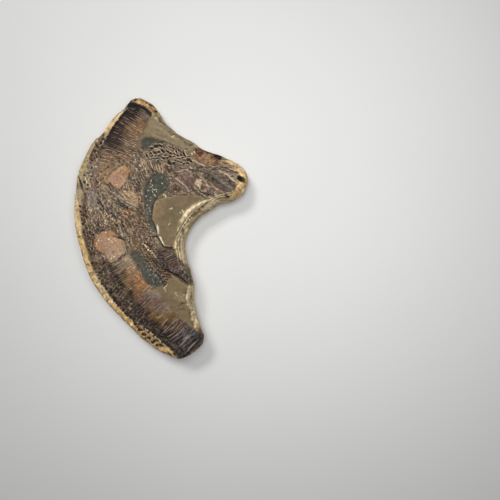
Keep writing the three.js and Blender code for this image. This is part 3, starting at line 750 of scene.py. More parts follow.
# ---------------------------------------------------------------- the girth and the stone's form
DOME_REACH = 8  # how far in from its edge a loose plate still rises, in mm
MOAT = (0.6, 0.7)  # groove round a loose plate: its depth, as far out as it is deep, and half width
RIDGE_SHARE = 0.8  # how much of their height the long bones and the cracks keep
FIN_RISE = 2.1  # of the tail fin over plain stone, in mm
PIT_DEPTH = 0.9  # of the pit that each dark dash of enamel lies in, in mm
LUMP_SPREAD = 12  # of the lumps at the upper tip, in square mm
SPLINTER = (2.7, 2.7)  # a broken bone of the bed: its width in mm, and how many times as long it is
LUMP = (2.3, 1.2)  # the same in the places of rubble

girth = curve_through(OUTLINE, RIM_STEP, closed=True)
ahead = np.roll(girth, -1, axis=0)[:, :2] - np.roll(girth, 1, axis=0)[:, :2]
ahead /= np.hypot(*ahead.T)[:, None]
inward = np.stack([ahead[:, 1], -ahead[:, 0]], 1)
chips = 0.15 + CHIP * (0.5 + 0.5 * drift(girth[:, 0], girth[:, 1], 4.2, 3))
chips += 0.35 * chance(np.arange(len(girth)), 4.0)
girth[:, :2] += inward * chips[:, None]
girth_line = np.vstack([girth, girth[:1]])


def rim_at(x, y, course=False):
    """Distance in from the girth, the width of the rind there, and how far round that is in mm."""
    away, share = nearest_on(girth_line[::2], x, y)
    run = np.linspace(0, 1, len(girth_line))
    width = np.interp(share, run, girth_line[:, 2])
    return (away, width, share * len(girth) * RIM_STEP) if course else (away, width)


def roll(x, y):
    """The slow roll of the plain stone."""
    return 0.45 * np.sin(x / 13 + 1) * np.cos(y / 17) + 0.3 * np.sin(x / 6.1 + y / 8.3)


def plate_depth(plate, x, y):
    """How far in from the edge of a plate each point lies, in mm."""
    return depth_in(curve_through(plate[0], 2.5, True), x, y)


def eye_place(x, y):
    """Distance from the middle of the eye hole, 1 at its edge."""
    (ex, ey), half, turn, _ = EYE
    u = ((x - ex) * math.cos(turn) + (y - ey) * math.sin(turn)) / half[0]
    v = ((y - ey) * math.cos(turn) - (x - ex) * math.sin(turn)) / half[1]
    return np.hypot(u, v) * (1 + 0.12 * drift(x, y, 3.0, 48))


def grain_at(x, y):
    """The way the bones lie round each point, as an angle, from the bones given one by one."""
    east, north = np.zeros(x.shape), np.zeros(x.shape)
    for gx, gy, turn in bone_grain:
        weight = 1 / ((gx - x) ** 2 + (gy - y) ** 2 + 8) ** 1.5
        east += weight * math.cos(2 * turn)
        north += weight * math.sin(2 * turn)
    return 0.5 * np.arctan2(north, east)


def shards(x, y, size, long, seed):
    """Broken pieces that lie along the grain, `long` times as long as they are wide.

    Gives how far in from the edge of its piece each point lies, and two draws of chance for the
    piece.
    """
    if not x.size:
        return x, x, x
    i, j = np.floor(x / size).astype(int), np.floor(y / size).astype(int)
    first_i, first_j = i.min() - 2, j.min() - 2
    columns, rows = np.meshgrid(
        np.arange(first_i, i.max() + 3), np.arange(first_j, j.max() + 3), indexing="ij")
    px = (columns + 0.5 + 0.9 * (chance(columns, rows, seed) - 0.5)) * size
    py = (rows + 0.5 + 0.9 * (chance(rows, columns, seed + 1) - 0.5)) * size
    turn = grain_at(px, py) + 0.8 * (chance(columns, rows, seed + 2) - 0.5)
    east, north = np.cos(turn), np.sin(turn)
    nearest, second = np.full(x.shape, 9.0), np.full(x.shape, 9.0)
    own_i, own_j = np.zeros(x.shape, int), np.zeros(x.shape, int)
    for di in range(-2, 3):
        for dj in range(-2, 3):
            a, b = i - first_i + di, j - first_j + dj
            dx, dy = x - px[a, b], y - py[a, b]
            lengthwise = (dx * east[a, b] + dy * north[a, b]) / long
            sideways = dy * east[a, b] - dx * north[a, b]
            away = np.hypot(lengthwise, sideways) / size
            nearer = away < nearest
            second = np.where(nearer, nearest, np.minimum(second, away))
            nearest = np.where(nearer, away, nearest)
            own_i, own_j = np.where(nearer, a, own_i), np.where(nearer, b, own_j)
    draws = (chance(columns, rows, seed + n)[own_i, own_j] for n in (3, 4))
    return second - nearest, *draws


def shatter(x, y):
    """The broken bones of the bed: long splinters, but small lumps in the places of rubble."""
    lumpy = np.max([depth_in(edge, x, y) for edge in RUBBLE], axis=0) > 0
    splinters, lumps = shards(x, y, *SPLINTER, 61), shards(x, y, *LUMP, 65)
    return [np.where(lumpy, b, a) for a, b in zip(splinters, lumps)]


def calm_at(x, y):
    """1 in the calm places of the bed, 0 elsewhere."""
    return np.max([smooth(-1.5, 1.0, depth_in(edge, x, y)) for edge in CALM], axis=0)


def ridge_at(line, half, height, x, y):
    """A rounded ridge along a line, or a groove where the height is below 0, fading at its ends."""
    points = curve_through(line, 2.0)
    rise = np.zeros(x.shape)
    low, high = points[:, :2].min(0) - 3 * half - 1, points[:, :2].max(0) + 3 * half + 1
    near = (x > low[0]) & (x < high[0]) & (y > low[1]) & (y < high[1])
    if near.any():
        away, share = nearest_on(points, x[near], y[near])
        taper = 0.35 + 0.65 * np.sin(math.pi * (0.1 + 0.8 * share))
        rise[near] = height * taper * np.exp(-((away / half) ** 2) * 1.4)
    return rise


def blot_at(middle, half, x, y, seed):
    """1 in the middle of a small uneven spot, 0 outside it."""
    away = np.hypot(x - middle[0], y - middle[1])
    near = away < 3 * half
    weight = np.zeros(x.shape)
    if near.any():
        uneven = 1 + 0.45 * drift(x[near], y[near], half * 1.3, seed)
        weight[near] = np.exp(-((away[near] / (half * uneven)) ** 3))
    return weight


def face_relief(x, y):
    """Height of the split face over its plain level, under the scales that lie on it."""
    wx, wy = wobble(x, y, 0.9, (21, 23, 22, 24))
    rise = roll(x, y) + 0.16 * crumble(x, y, 3.0, 5) + 0.25 * drift(x, y, 9, 6)
    for height, soft, edge in LEVELS.values():
        rise += height * smooth(-soft, soft, depth_in(curve_through(edge, 2, True), wx, wy))
    bed = smooth(-1.0, 1.5, depth_in(HEAD_BED, wx, wy))
    for plate in PLATES:
        deep = plate_depth(plate, wx, wy)
        rise += plate[1] * np.sqrt(1 - (1 - np.clip(deep / DOME_REACH, 0, 1)) ** 2)
        rise -= MOAT[0] * np.exp(-(((deep + MOAT[0]) / MOAT[1]) ** 2))
        bed *= smooth(0.5, -1.0, deep)
    rise += EYE[3] * smooth(1.15, 0.6, eye_place(x, y))
    for field in (UPPER_FLANK, LOWER_FLANK):
        inside = smooth(-1.0, 1.0, depth_in(band_corners(field), x, y))
        bed *= 1 - inside
        near = inside > 0
        along, across = place_in_band(field, x[near], y[near])
        swell = field["crown"] * np.sin(math.pi * np.clip(0.08 + 0.84 * across, 0, 1))
        swell *= smooth(0, 0.09, np.minimum(along, 1 - along) + 0.02)
        rise[near] += (swell - field["fall"]) * inside[near]
    for px, py, turn, length, width, _, _ in pits:
        near = np.abs(x - px) + np.abs(y - py) < 6
        u = (x[near] - px) * math.cos(turn) + (y[near] - py) * math.sin(turn)
        v = (y[near] - py) * math.cos(turn) - (x[near] - px) * math.sin(turn)
        rise[near] -= PIT_DEPTH * np.exp(-((u / (length + 0.4)) ** 4) - (v / (width + 0.2)) ** 2)
    fin = smooth(-0.9, 0.9, depth_in(TAIL_FIN, x, y))
    rise += FIN_RISE * fin
    bed *= 1 - fin
    for field in (THROAT_FIELD, TAIL_FIELD, BACK_FIELD):
        inside = smooth(-1.0, 1.2, depth_in(band_corners(field), x, y))
        rise += field["lift"] * inside
        bed *= 1 - 0.7 * inside
    rough = bed * (1 - 0.8 * calm_at(wx, wy))
    some = bed > 0.01
    inner, draw, _ = shatter(x[some], y[some])
    step = 0.5 * smooth(0.0, 0.3, inner) + 0.9 * (draw - 0.5)
    rise[some] += step * (0.25 * bed + 0.75 * rough)[some]
    rise += 0.3 * rough * drift(x, y, 3.4, 33)
    for line, half, height in [*BONES, *CRACKS]:
        rise += ridge_at(line, half, height * RIDGE_SHARE, wx, wy)
    for _, half, height, _, line in LINES:
        rise += ridge_at(line, half, height, wx, wy)
    for k, (_, half, height, middles) in enumerate(SPOTS):
        for middle in middles:
            rise += height * blot_at(middle, half, x, y, k)
    rise += 0.35 * (1 - bed) * drift(x, y, 5, 34)
    for (tx, ty), height in TIP_LUMPS:
        rise += height * np.exp(-((x - tx) ** 2 + (y - ty) ** 2) / LUMP_SPREAD)
    return rise


def top_form(away, rind):
    """Height of the top before its relief: full in the middle, down over the rind to the girth."""
    share = np.minimum(away / rind, 1)
    ledge = 0.05 * (smooth(0.42, 0.5, share) - smooth(0.3, 0.98, share))
    return GIRTH + (FACE - GIRTH) * ((1 - (1 - share) ** 2) ** 0.85 + ledge)


def in_bay(x, y):
    """1 on the wall of the bay, where the marl splits in thin beds, 0 elsewhere."""
    return smooth(8, 26, x) * smooth(98, 84, x) * smooth(-100, -60, y) * smooth(64, 40, y)


def beds(away, course):
    """The thin beds along the wall of the bay, -1 to 1."""
    wave = away + 0.8 * drift(course, 0 * course, 14, 46) + 0.3 * drift(course, away, 3, 47)
    return 0.65 * np.sin(wave * 2.5) + 0.35 * drift(course, wave * 5, 7, 45)


def top_height(x, y):
    """Height of the top: plain form and relief inside, knobs of rind and thin beds at its edge."""
    away, rind, course = rim_at(x, y, True)
    share = away / rind
    bay = in_bay(x, y)
    plain = top_form(away, rind)
    knobs = 1.2 * drift(course, plain, 5.5, 41) + 0.7 * drift(course, 1.4 * plain, 2.4, 42)
    lumps = (0.5 * drift(x, y, 4.4, 40) + knobs) * (1 - 0.75 * bay)
    lumps += 0.7 * beds(away, course) * bay
    edge = smooth(0.02, 0.35, share) * smooth(1.25, 0.7, share)
    return plain + face_relief(x, y) * smooth(0.5, 0.95, share) + lumps * edge


def back_height(x, y):
    """Height of the underside: flat in the middle, up over its rounded edge to the girth."""
    away, _ = rim_at(x, y)
    share = np.minimum(away / BACK_INSET, 1)
    bowl = GIRTH * (1 - np.sqrt(1 - (1 - share) ** 2))
    knobs = 0.8 * drift(x, y, 6, 43) + 0.4 * drift(x, y, 2.5, 44)
    return bowl + np.clip(knobs, 0, 1) * smooth(1, 0.8, share)


# ---------------------------------------------------------------- colour
LIT = 1.04  # how much brighter a colour is than it looks under the lamps
LEAST_LIGHT, MOST_LIGHT = 0.004, 0.95  # that the stone gives back
STREAKS_WAY = (-0.54, 0.84)  # across the fine streaks of the loose plates


def tone(name):
    """A named colour as linear light, brightened for how the stone is lit."""
    seen = np.array(TONES[name]) / 255
    return np.clip(LIT * ((seen + 0.055) / 1.055) ** 2.4, 0, 0.93)


def between(stops, v):
    """Colour at v from stops of place and tone."""
    at = [place for place, _ in stops]
    colours = np.array([tone(name) for _, name in stops])
    return np.stack([np.interp(v, at, column) for column in colours.T], 1)


class Paint:
    """Colour at each of a set of points, laid on in coats."""

    def __init__(self, x, y):
        self.x, self.y = x, y
        self.wx, self.wy = wobble(x, y, 0.8, (51, 52, 53, 54))
        self.colour = np.tile(tone("marl"), (len(x), 1))

    def noise(self, size, seed):
        """Smooth noise at the points."""
        return drift(self.x, self.y, size, seed)

    def within(self, edge, low, high):
        """1 inside a closed edge, 0 outside it; its uneven border is from `low` to `high` mm in."""
        return smooth(low, high, depth_in(edge, self.wx, self.wy))

    def coat(self, colour, weight):
        """One coat: a tone, or a colour for each point, as thick as its weight from 0 to 1."""
        if isinstance(colour, str):
            colour = tone(colour)
        weight = np.clip(weight, 0, 1)[:, None]
        self.colour = self.colour * (1 - weight) + colour * weight

    def fleck(self, names, size, seed, weight, share=0.5):
        """Small uneven flecks of several tones, each over about `share` of the place."""
        for k, name in enumerate(names):
            noise = self.noise(size, seed + k)
            noise += 0.5 * self.noise(size / 2, seed + k + 9)
            self.coat(name, weight * smooth(0.55 - share, 1.0 - share, noise))

    def rind(self):
        """Sandy rind along the girth, and the straw and cream beds on the wall of the bay."""
        away, _, course = rim_at(self.x, self.y, True)
        uneven = away + 1.2 * self.noise(5, 55) + 0.6 * self.noise(1.8, 56)
        left = smooth(30, -40, self.x + 0.25 * self.y) * smooth(60, 20, self.y)
        reach = 2.6 + 9.5 * left
        band = smooth(reach + 0.7, reach - 0.5, uneven)
        self.coat("straw", 0.75 * band)
        golden = np.clip(left + smooth(82, 92, self.x), 0, 1)
        self.coat("gold", 0.92 * golden * band)
        bay = in_bay(self.x, self.y)
        deep = 9.5 - 5.0 * smooth(-46, -60, self.y)
        shelf = bay * smooth(deep + 1, deep - 1, uneven)
        level = beds(away, course)
        self.coat("straw", 0.95 * shelf)
        self.coat("cream", 0.9 * shelf * smooth(-0.2, 0.4, level))
        self.coat("brown", 0.6 * shelf * smooth(0.35, 0.8, -level))
        self.coat("brown", 0.6 * bay * smooth(1.8, 0.8, uneven))
        self.fleck(["cream", "orange", "brown"], 3.0, 57, 0.5 * band * (1 - bay), 0.3)

    def lay(self, areas):
        """Areas of colour with a ragged edge."""
        for name, soft, strength, corners in areas:
            depth = depth_in(corners, self.wx, self.wy)
            depth += 0.8 * soft * crumble(self.x, self.y, 3.2, 68)
            self.coat(name, strength * smooth(-soft / 2, soft / 2, depth))

    def flanks(self, ground):
        """The runs of flank scales; `ground` darkens what lies between the scales, as painted
        shade.
        """
        for band, outer, inner in (
            (UPPER_FLANK, UPPER_OUTER, UPPER_INNER),
            (LOWER_FLANK, LOWER_OUTER, LOWER_INNER),
        ):
            ragged = 1.1 * self.noise(3.5, 60)
            inside = smooth(-0.8, 0.8, depth_in(band_corners(band), self.x, self.y) + ragged)
            near = inside > 0
            if not near.any():
                continue
            along, across = place_in_band(band, self.x[near], self.y[near])
            uneven = drift(self.x[near], self.y[near], 7, 58)
            along = np.clip(along + 0.05 * uneven, 0, 1)
            across = across + 0.18 * drift(self.x[near], self.y[near], 6, 59)
            share = smooth(0.35, 0.75, across)[:, None]
            colour = between(outer, along) * (1 - share) + between(inner, along) * share
            wide = 0.26 + band["dark_end"] * smooth(0.6, 0.85, along)
            dark = smooth(wide, wide - 0.14, across)[:, None] * 0.9
            colour = colour * (1 - dark) + tone("soot") * dark
            streak = drift(along * len(band["outer"]) * 12, 5 * across, 1.3, 57)[:, None]
            colour *= 1 + band["streaks"] * streak
            # painted shade: the stone between the scales is darkened by the run's ground share
            if ground:
                colour *= band["ground"] + 0.35 * share * smooth(0.75, 0.4, along)[:, None]
            weight = np.zeros(len(self.x))
            fade = band.get("fading", 0) * smooth(0.8, 1.0, along + 0.06 * uneven)
            weight[near] = inside[near] * (1 - 0.8 * fade)
            full = np.zeros((len(self.x), 3))
            full[near] = colour
            self.coat(full, weight)

    def fields(self):
        """The ground of the small scales, darker down the back, and the tail fin."""
        for field, name, strength in FIELD_COATS:
            inside = self.within(band_corners(field), -1.5, 1.0)
            self.coat(name, strength * inside)
            self.fleck(["olive", "brown", "bone", "sepia"], 1.9, 70, 0.55 * inside, 0.2)
        back = self.within(band_corners(BACK_FIELD), -1.5, 1.0)
        self.coat("soot", 0.55 * back * smooth(-20, 20, self.x))
        fin = smooth(-0.9, 0.9, depth_in(TAIL_FIN, self.x, self.y))
        self.coat("soot", 0.8 * fin)
        self.fleck(["mauve", "black", "slate"], 2.0, 80, 0.7 * fin, 0.3)

    def mottle(self):
        """Threads and flecks, strong in the bed of the head and faint on plain stone, with painted
        shade in the gaps between shards and painted glints on a few.
        """
        bed = self.within(HEAD_BED, -1.0, 2.0)
        clayey = np.zeros(len(self.x))
        for name in CLAYS:
            depth = depth_in(LEVELS[name][2], self.wx, self.wy) + 1.6 * self.noise(3, 65)
            clayey = np.maximum(clayey, smooth(-1.5, 2.0, depth))
        bed *= 1 - 0.9 * clayey
        for plate in PLATES:
            bed *= smooth(0.5, -1.0, plate_depth(plate, self.wx, self.wy))
        rough = bed * (1 - 0.7 * calm_at(self.wx, self.wy))
        some = bed > 0.01
        inner, draw, pick = np.ones((3, len(self.x)))
        inner[some], draw[some], pick[some] = shatter(self.x[some], self.y[some])
        self.fleck(["tan", "moss", "mauve", "ash"], 7.0, 64, 0.55 * rough, 0.3)
        for k, name in enumerate(SHARD_TONES):
            mine = np.floor(pick * len(SHARD_TONES)) == k
            self.coat(name, 0.5 * rough * mine)
        self.colour *= 1 + ((0.3 * bed + 0.9 * rough) * (draw - 0.5) * some)[:, None]
        # sepia in the gaps between the shards: dark joints, and painted shade between the shards
        self.coat("sepia", (0.25 * bed + 0.55 * rough) * smooth(0.2, 0.04, inner))
        # a painted glint on the middle of a few of the shards
        self.coat("pale ash", 0.5 * rough * smooth(0.25, 0.6, inner) * (draw > 0.92) * some)
        self.fleck(["dark clay", "slate", "moss", "dark clay"], 2.2, 100, 0.6 * clayey, 0.28)
        self.fleck(["grey bone"], 1.3, 106, 0.5 * clayey, 0.12)
        shade = 1 + 0.1 * self.noise(14, 62) + 0.12 * crumble(self.x, self.y, 2.6, 63)
        self.colour = self.colour * shade[:, None]

    def plates(self):
        """Flecks and fine streaks on the loose plates of the head."""
        for k, plate in enumerate(PLATES):
            inside = smooth(-0.4, 0.8, plate_depth(plate, self.wx, self.wy))
            self.fleck(["pink", "brown", "orange"], 3.0, 110 + 7 * k, 0.3 * inside, 0.3)
            self.fleck(["umber", "cream"], 1.5, 130 + 7 * k, 0.4 * inside, 0.1)
            across = self.x * STREAKS_WAY[0] + self.y * STREAKS_WAY[1]
            across = across + 0.5 * self.noise(5, 120 + k)
            self.colour *= 1 + 0.12 * (inside * np.sin(across * 3.9))[:, None]

    def details(self):
        """Lines, spots and the eye hole, whose depth is painted dark as painted shade."""
        # some dark lines in grooves at the foot of raised parts are painted shadow as well as
        # cracks
        for name, half, _, strength, line in LINES:
            self.coat(name, strength * ridge_at(line, half * 1.05, 1.4, self.wx, self.wy))
        for k, (name, half, _, middles) in enumerate(SPOTS):
            for middle in middles:
                self.coat(name, 0.95 * blot_at(middle, half, self.x, self.y, k))
        # the eye hole: moss round its rim and black inside, painted shade of its depth
        hole = eye_place(self.x, self.y)
        self.coat("moss", 0.9 * smooth(1.1, 0.8, hole))
        self.coat("black", 0.9 * smooth(0.9, 0.5, hole))


def paint(x, y, fine=True):
    """Colour of the stone at each point, in linear light."""
    p = Paint(x, y)
    p.lay(AREAS)
    p.rind()
    p.lay(RIM_AREAS)
    p.flanks(fine)
    p.fields()
    p.mottle()
    if fine:
        p.plates()
        p.details()
    return np.clip(p.colour, LEAST_LIGHT, MOST_LIGHT)


# ---------------------------------------------------------------- finishes
def feed(tree, socket, value):
    """Links an output to a socket, or sets the socket to a value; None leaves it as it is."""
    if isinstance(value, bpy.types.NodeSocket):
        tree.links.new(value, socket)
    elif value is not None:
        socket.default_value = value


def add_node(tree, kind, place=(0, 0), feeds=(), **values):
    """A node. Names that aren't settings of it are its sockets'. Feeds go to these in turn."""
    made = tree.nodes.new(kind)
    made.location = place
    for key, value in values.items():
        if hasattr(made, key):
            setattr(made, key, value)
        else:
            feed(tree, made.inputs[key.replace("_", " ").title()], value)
    for socket, value in zip(made.inputs, feeds):
        feed(tree, socket, value)
    return made


def stone_finish(name, grain, speckle, bump, rough, shine=0.3):
    """Stone coloured by its tint, with a painted highlight on its crests and painted shade in its
    hollows.

    grain is the size of its grains in mm, speckle how much their colour varies, bump their
    height in mm, rough its roughness and shine its specular level.
    """
    material = bpy.data.materials.new(name)
    material.use_nodes = True
    tree = material.node_tree
    tree.nodes.clear()
    scale = 1 / (grain * MM)
    place = add_node(tree, "ShaderNodeTexCoord", (-900, 0)).outputs["Object"]
    tint = add_node(tree, "ShaderNodeAttribute", (-900, 300), attribute_name="tint")
    hollow = add_node(tree, "ShaderNodeAttribute", (-900, -300), attribute_name="hollow")
    grains = add_node(
        tree, "ShaderNodeTexNoise", (-650, 0),
        Vector=place, Scale=scale, Detail=5.0, Roughness=0.65).outputs["Fac"]
    blotch = add_node(
        tree, "ShaderNodeTexNoise", (-650, -250), Vector=place, Scale=scale / 5, Detail=3.0)
    cells = add_node(
        tree, "ShaderNodeTexVoronoi", (-650, -500), Vector=place, Scale=scale * 0.9)
    # grains lighten and darken the tint
    ramp = add_node(
        tree, "ShaderNodeMapRange", (-400, 0),
        Value=grains, From_Min=0.3, From_Max=0.7, To_Min=1 - speckle, To_Max=1 + speckle)
    grainy = add_node(
        tree, "ShaderNodeVectorMath", (-150, 200), (tint.outputs["Color"],),
        operation="SCALE", Scale=ramp.outputs["Result"])
    # painted shade darkens the hollows and a painted highlight lightens the crests, both made
    # blotchy
    depth = add_node(
        tree, "ShaderNodeMath", (-400, -300), (blotch.outputs["Fac"], 0.35, hollow.outputs["Fac"]),
        operation="MULTIPLY_ADD")
    wear_and_painted_light = add_node(
        tree, "ShaderNodeMapRange", (-200, -300),
        Value=depth.outputs["Value"], From_Min=-0.45, From_Max=0.85, To_Min=0.42, To_Max=1.5)
    final = add_node(
        tree, "ShaderNodeVectorMath", (100, 150), (grainy.outputs["Vector"],),
        operation="SCALE", Scale=wear_and_painted_light.outputs["Result"])
    # roughness follows the grains
    dull = add_node(
        tree, "ShaderNodeMapRange", (100, -150),
        Value=grains, From_Min=0.3, From_Max=0.7, To_Min=rough - 0.12, To_Max=rough + 0.1)
    # grains stand up from the surface
    pile = add_node(
        tree, "ShaderNodeMath", (100, -400), (cells.outputs["Distance"], 0.5, grains),
        operation="MULTIPLY_ADD")
    raised = add_node(
        tree, "ShaderNodeBump", (350, -400),
        Strength=0.9, Distance=bump * MM, Height=pile.outputs["Value"])
    shader = add_node(
        tree, "ShaderNodeBsdfPrincipled", (600, 0),
        Base_Color=final.outputs["Vector"], Roughness=dull.outputs["Result"],
        Normal=raised.outputs["Normal"])
    shader.inputs["Specular IOR Level"].default_value = shine
    add_node(tree, "ShaderNodeOutputMaterial", (900, 0), Surface=shader.outputs["BSDF"])
    return material


marl = stone_finish("olive marl", 0.9, 0.16, 0.35, 0.86)
clay = stone_finish("grey green clay", 0.6, 0.12, 0.18, 0.9, 0.2)
rind = stone_finish("sandy rind", 1.3, 0.24, 0.7, 0.9, 0.2)
bed = stone_finish("bone bed", 0.8, 0.3, 0.5, 0.78)
enamel = stone_finish("dark scale enamel", 0.7, 0.3, 0.3, 0.72, 0.2)
plate_bone = stone_finish("salmon plate bone", 0.8, 0.2, 0.3, 0.72)
pale_bone = stone_finish("pale bone", 0.7, 0.22, 0.3, 0.7)


# ---------------------------------------------------------------- meshes
def set_attribute(mesh, name, values, kind="FLOAT"):
    """Gives each corner of a mesh a number, an arrow or a colour under a name."""
    attribute = mesh.attributes.get(name) or mesh.attributes.new(name, kind, "POINT")
    if kind == "FLOAT_COLOR":
        full = np.ones((len(values), 4), np.float32)
        full[:, :3] = values
        attribute.data.foreach_set("color", full.ravel())
    elif kind == "FLOAT_VECTOR":
        attribute.data.foreach_set("vector", np.asarray(values, np.float32).ravel())
    else:
        attribute.data.foreach_set("value", np.asarray(values, np.float32))


def get_attribute(mesh, name):
    """The numbers that the corners of a mesh hold under a name."""
    values = np.zeros(len(mesh.vertices), np.float32)
    mesh.attributes[name].data.foreach_get("value", values)
    return values


def points_of(mesh):
    """The corners of a mesh, in metres."""
    values = np.zeros(len(mesh.vertices) * 3, np.float32)
    mesh.vertices.foreach_get("co", values)
    return values.reshape(-1, 3).astype(float)


def make_mesh(name, vertices, faces, shade=True):
    """A mesh of corners in metres and faces; shade rounds its look from face to face."""
    mesh = bpy.data.meshes.new(name)
    mesh.from_pydata([tuple(v) for v in vertices], [], faces)
    mesh.update()
    if shade:
        mesh.shade_smooth()
    return mesh


def add_object(name, content):
    """Puts a mesh, lamp or camera into the scene, at the origin and unturned."""
    made = bpy.data.objects.new(name, content)
    bpy.context.scene.collection.objects.link(made)
    return made


def hollows(mesh, height, rounds):
    """How far each corner stands above (or lies below) the average of the skin round it, in mm."""
    edges = np.zeros(len(mesh.edges) * 2, np.int32)
    mesh.edges.foreach_get("vertices", edges)
    a, b = edges.reshape(-1, 2).T
    count = np.bincount(np.concatenate([a, b]), minlength=len(mesh.vertices))
    level = height.copy()
    for _ in range(rounds):
        total = np.bincount(a, level[b], len(level)) + np.bincount(b, level[a], len(level))
        level = 0.5 * level + 0.5 * total / np.maximum(count, 1)
    return height - level


# ---------------------------------------------------------------- the stone
ROW_PITCH = 0.866  # between the rows of a lattice whose corners are 1 apart
PLAN_REACH = (115, 170)  # how far the plan goes from the origin, in mm
UNEVEN = 0.3  # how far a corner of the lattice lies out of place, as a share of the step
FACE_SLOPES = (14, 26, 38, 50, 62)  # round the rim of the face, one for each ring of corners
BACK_SLOPES = (10, 20, 32, 45, 60, 78)  # the same for the edge of the back


def lattice(step, seed):
    """Corners of a staggered lattice over the whole plan, each a little out of place."""
    last_column = math.ceil(PLAN_REACH[0] / step)
    last_row = math.ceil(PLAN_REACH[1] / (step * ROW_PITCH))
    rows, columns = np.arange(-last_row, last_row + 1), np.arange(-last_column, last_column + 1)
    column, row = (v.ravel() for v in np.meshgrid(columns, rows))
    x = (column + 0.5 * (row % 2) + UNEVEN * (chance(row, column, seed) - 0.5)) * step
    y = (row + UNEVEN * (chance(column, row, seed + 1) - 0.5)) * step * ROW_PITCH
    return x, y


def lattice_inside(step, seed):
    """The same lattice, only where it lies inside the girth."""
    x, y = lattice(step, seed)
    inside = is_inside(girth[:, :2], x, y)
    return x[inside], y[inside]


def ring_corners(slopes, widths):
    """Rings of corners inside the girth, one for each slope in degrees of the round edge there.

    A ring thins out where the girth turns tightly.
    """
    kept = []
    for share in 1 - np.cos(np.radians(slopes)):
        inset = widths * share
        x, y = (girth[:, :2] + inward * inset[:, None]).T
        away, _ = rim_at(x, y)
        good = (away > inset * 0.93) & is_inside(girth[:, :2], x, y)
        kept.append(np.stack([x[good], y[good]], 1))
    return kept


def face_plan():
    """Corners of the top of the stone, dense on scales and bones."""
    kept = ring_corners(FACE_SLOPES, girth[:, 2])
    fine_areas = [band_corners(field) for field in (*SCALY, THROAT_FIELD)]
    fine_areas += [np.array(area, float) for area in (HEAD_BED, ARM_BED, TAIL_FIN)]
    for step, wants_fine in ((FINE_STEP, True), (PLAIN_STEP, False)):
        x, y = lattice_inside(step, 7)
        depth = np.max([depth_in(area, x, y) for area in fine_areas], axis=0)
        right = (depth > -FINE_BEYOND) == wants_fine
        x, y = x[right], y[right]
        away, width = rim_at(x, y)
        clear = away > width * 0.56
        kept.append(np.stack([x[clear], y[clear]], 1))
    return np.vstack(kept)


def back_plan():
    """Corners of the underside, fewer from ring to ring."""
    rings = ring_corners(BACK_SLOPES, np.full(len(girth), BACK_INSET))
    thinned = [ring[:: 1 + (k > 1) + (k > 3)] for k, ring in enumerate(rings)]
    x, y = lattice_inside(BACK_STEP, 9)
    away, _ = rim_at(x, y)
    clear = away > BACK_INSET * 0.8
    return np.vstack([*thinned, np.stack([x[clear], y[clear]], 1)])


def join_corners(inside):
    """Triangles over the girth and the corners inside it, facing up.

    Gives the corners, the triangles, and which corner each corner of the girth became.
    """
    rim = [Vector(p) for p in girth[:, :2]]
    inner = [Vector(p) for p in inside]
    count = len(rim)
    ring = [(k, (k + 1) % count) for k in range(count)]
    found = delaunay_2d_cdt(rim + inner, ring, [], 1, 1e-5)
    corners = np.array([tuple(v) for v in found[0]])
    faces = np.array([tuple(f) for f in found[2]])
    sources = found[3]
    rim_place = {source: k for k, given in enumerate(sources) for source in given if source < count}
    a, b, c = (corners[faces[:, k]] for k in range(3))
    twice = (b[:, 0] - a[:, 0]) * (c[:, 1] - a[:, 1]) - (b[:, 1] - a[:, 1]) * (c[:, 0] - a[:, 0])
    faces = np.where((twice < 0)[:, None], faces[:, ::-1], faces)
    return corners, faces, [rim_place[k] for k in range(count)]


def stone_mesh():
    """The whole skin of the stone: the top and the underside, joined along the girth."""
    top, top_faces, top_rim = join_corners(face_plan())
    back, back_faces, back_rim = join_corners(back_plan())
    top_z = top_height(top[:, 0], top[:, 1])
    top_z[top_rim] = GIRTH
    back_z = back_height(back[:, 0], back[:, 1])
    renumber = np.full(len(back), -1)
    renumber[back_rim] = top_rim
    rest = renumber < 0
    renumber[rest] = len(top) + np.arange(rest.sum())
    vertices = np.vstack([np.c_[top, top_z], np.c_[back, back_z][rest]])
    faces = np.vstack([top_faces, renumber[back_faces][:, ::-1]])
    return make_mesh("fossil_stone", vertices * MM, faces.tolist())


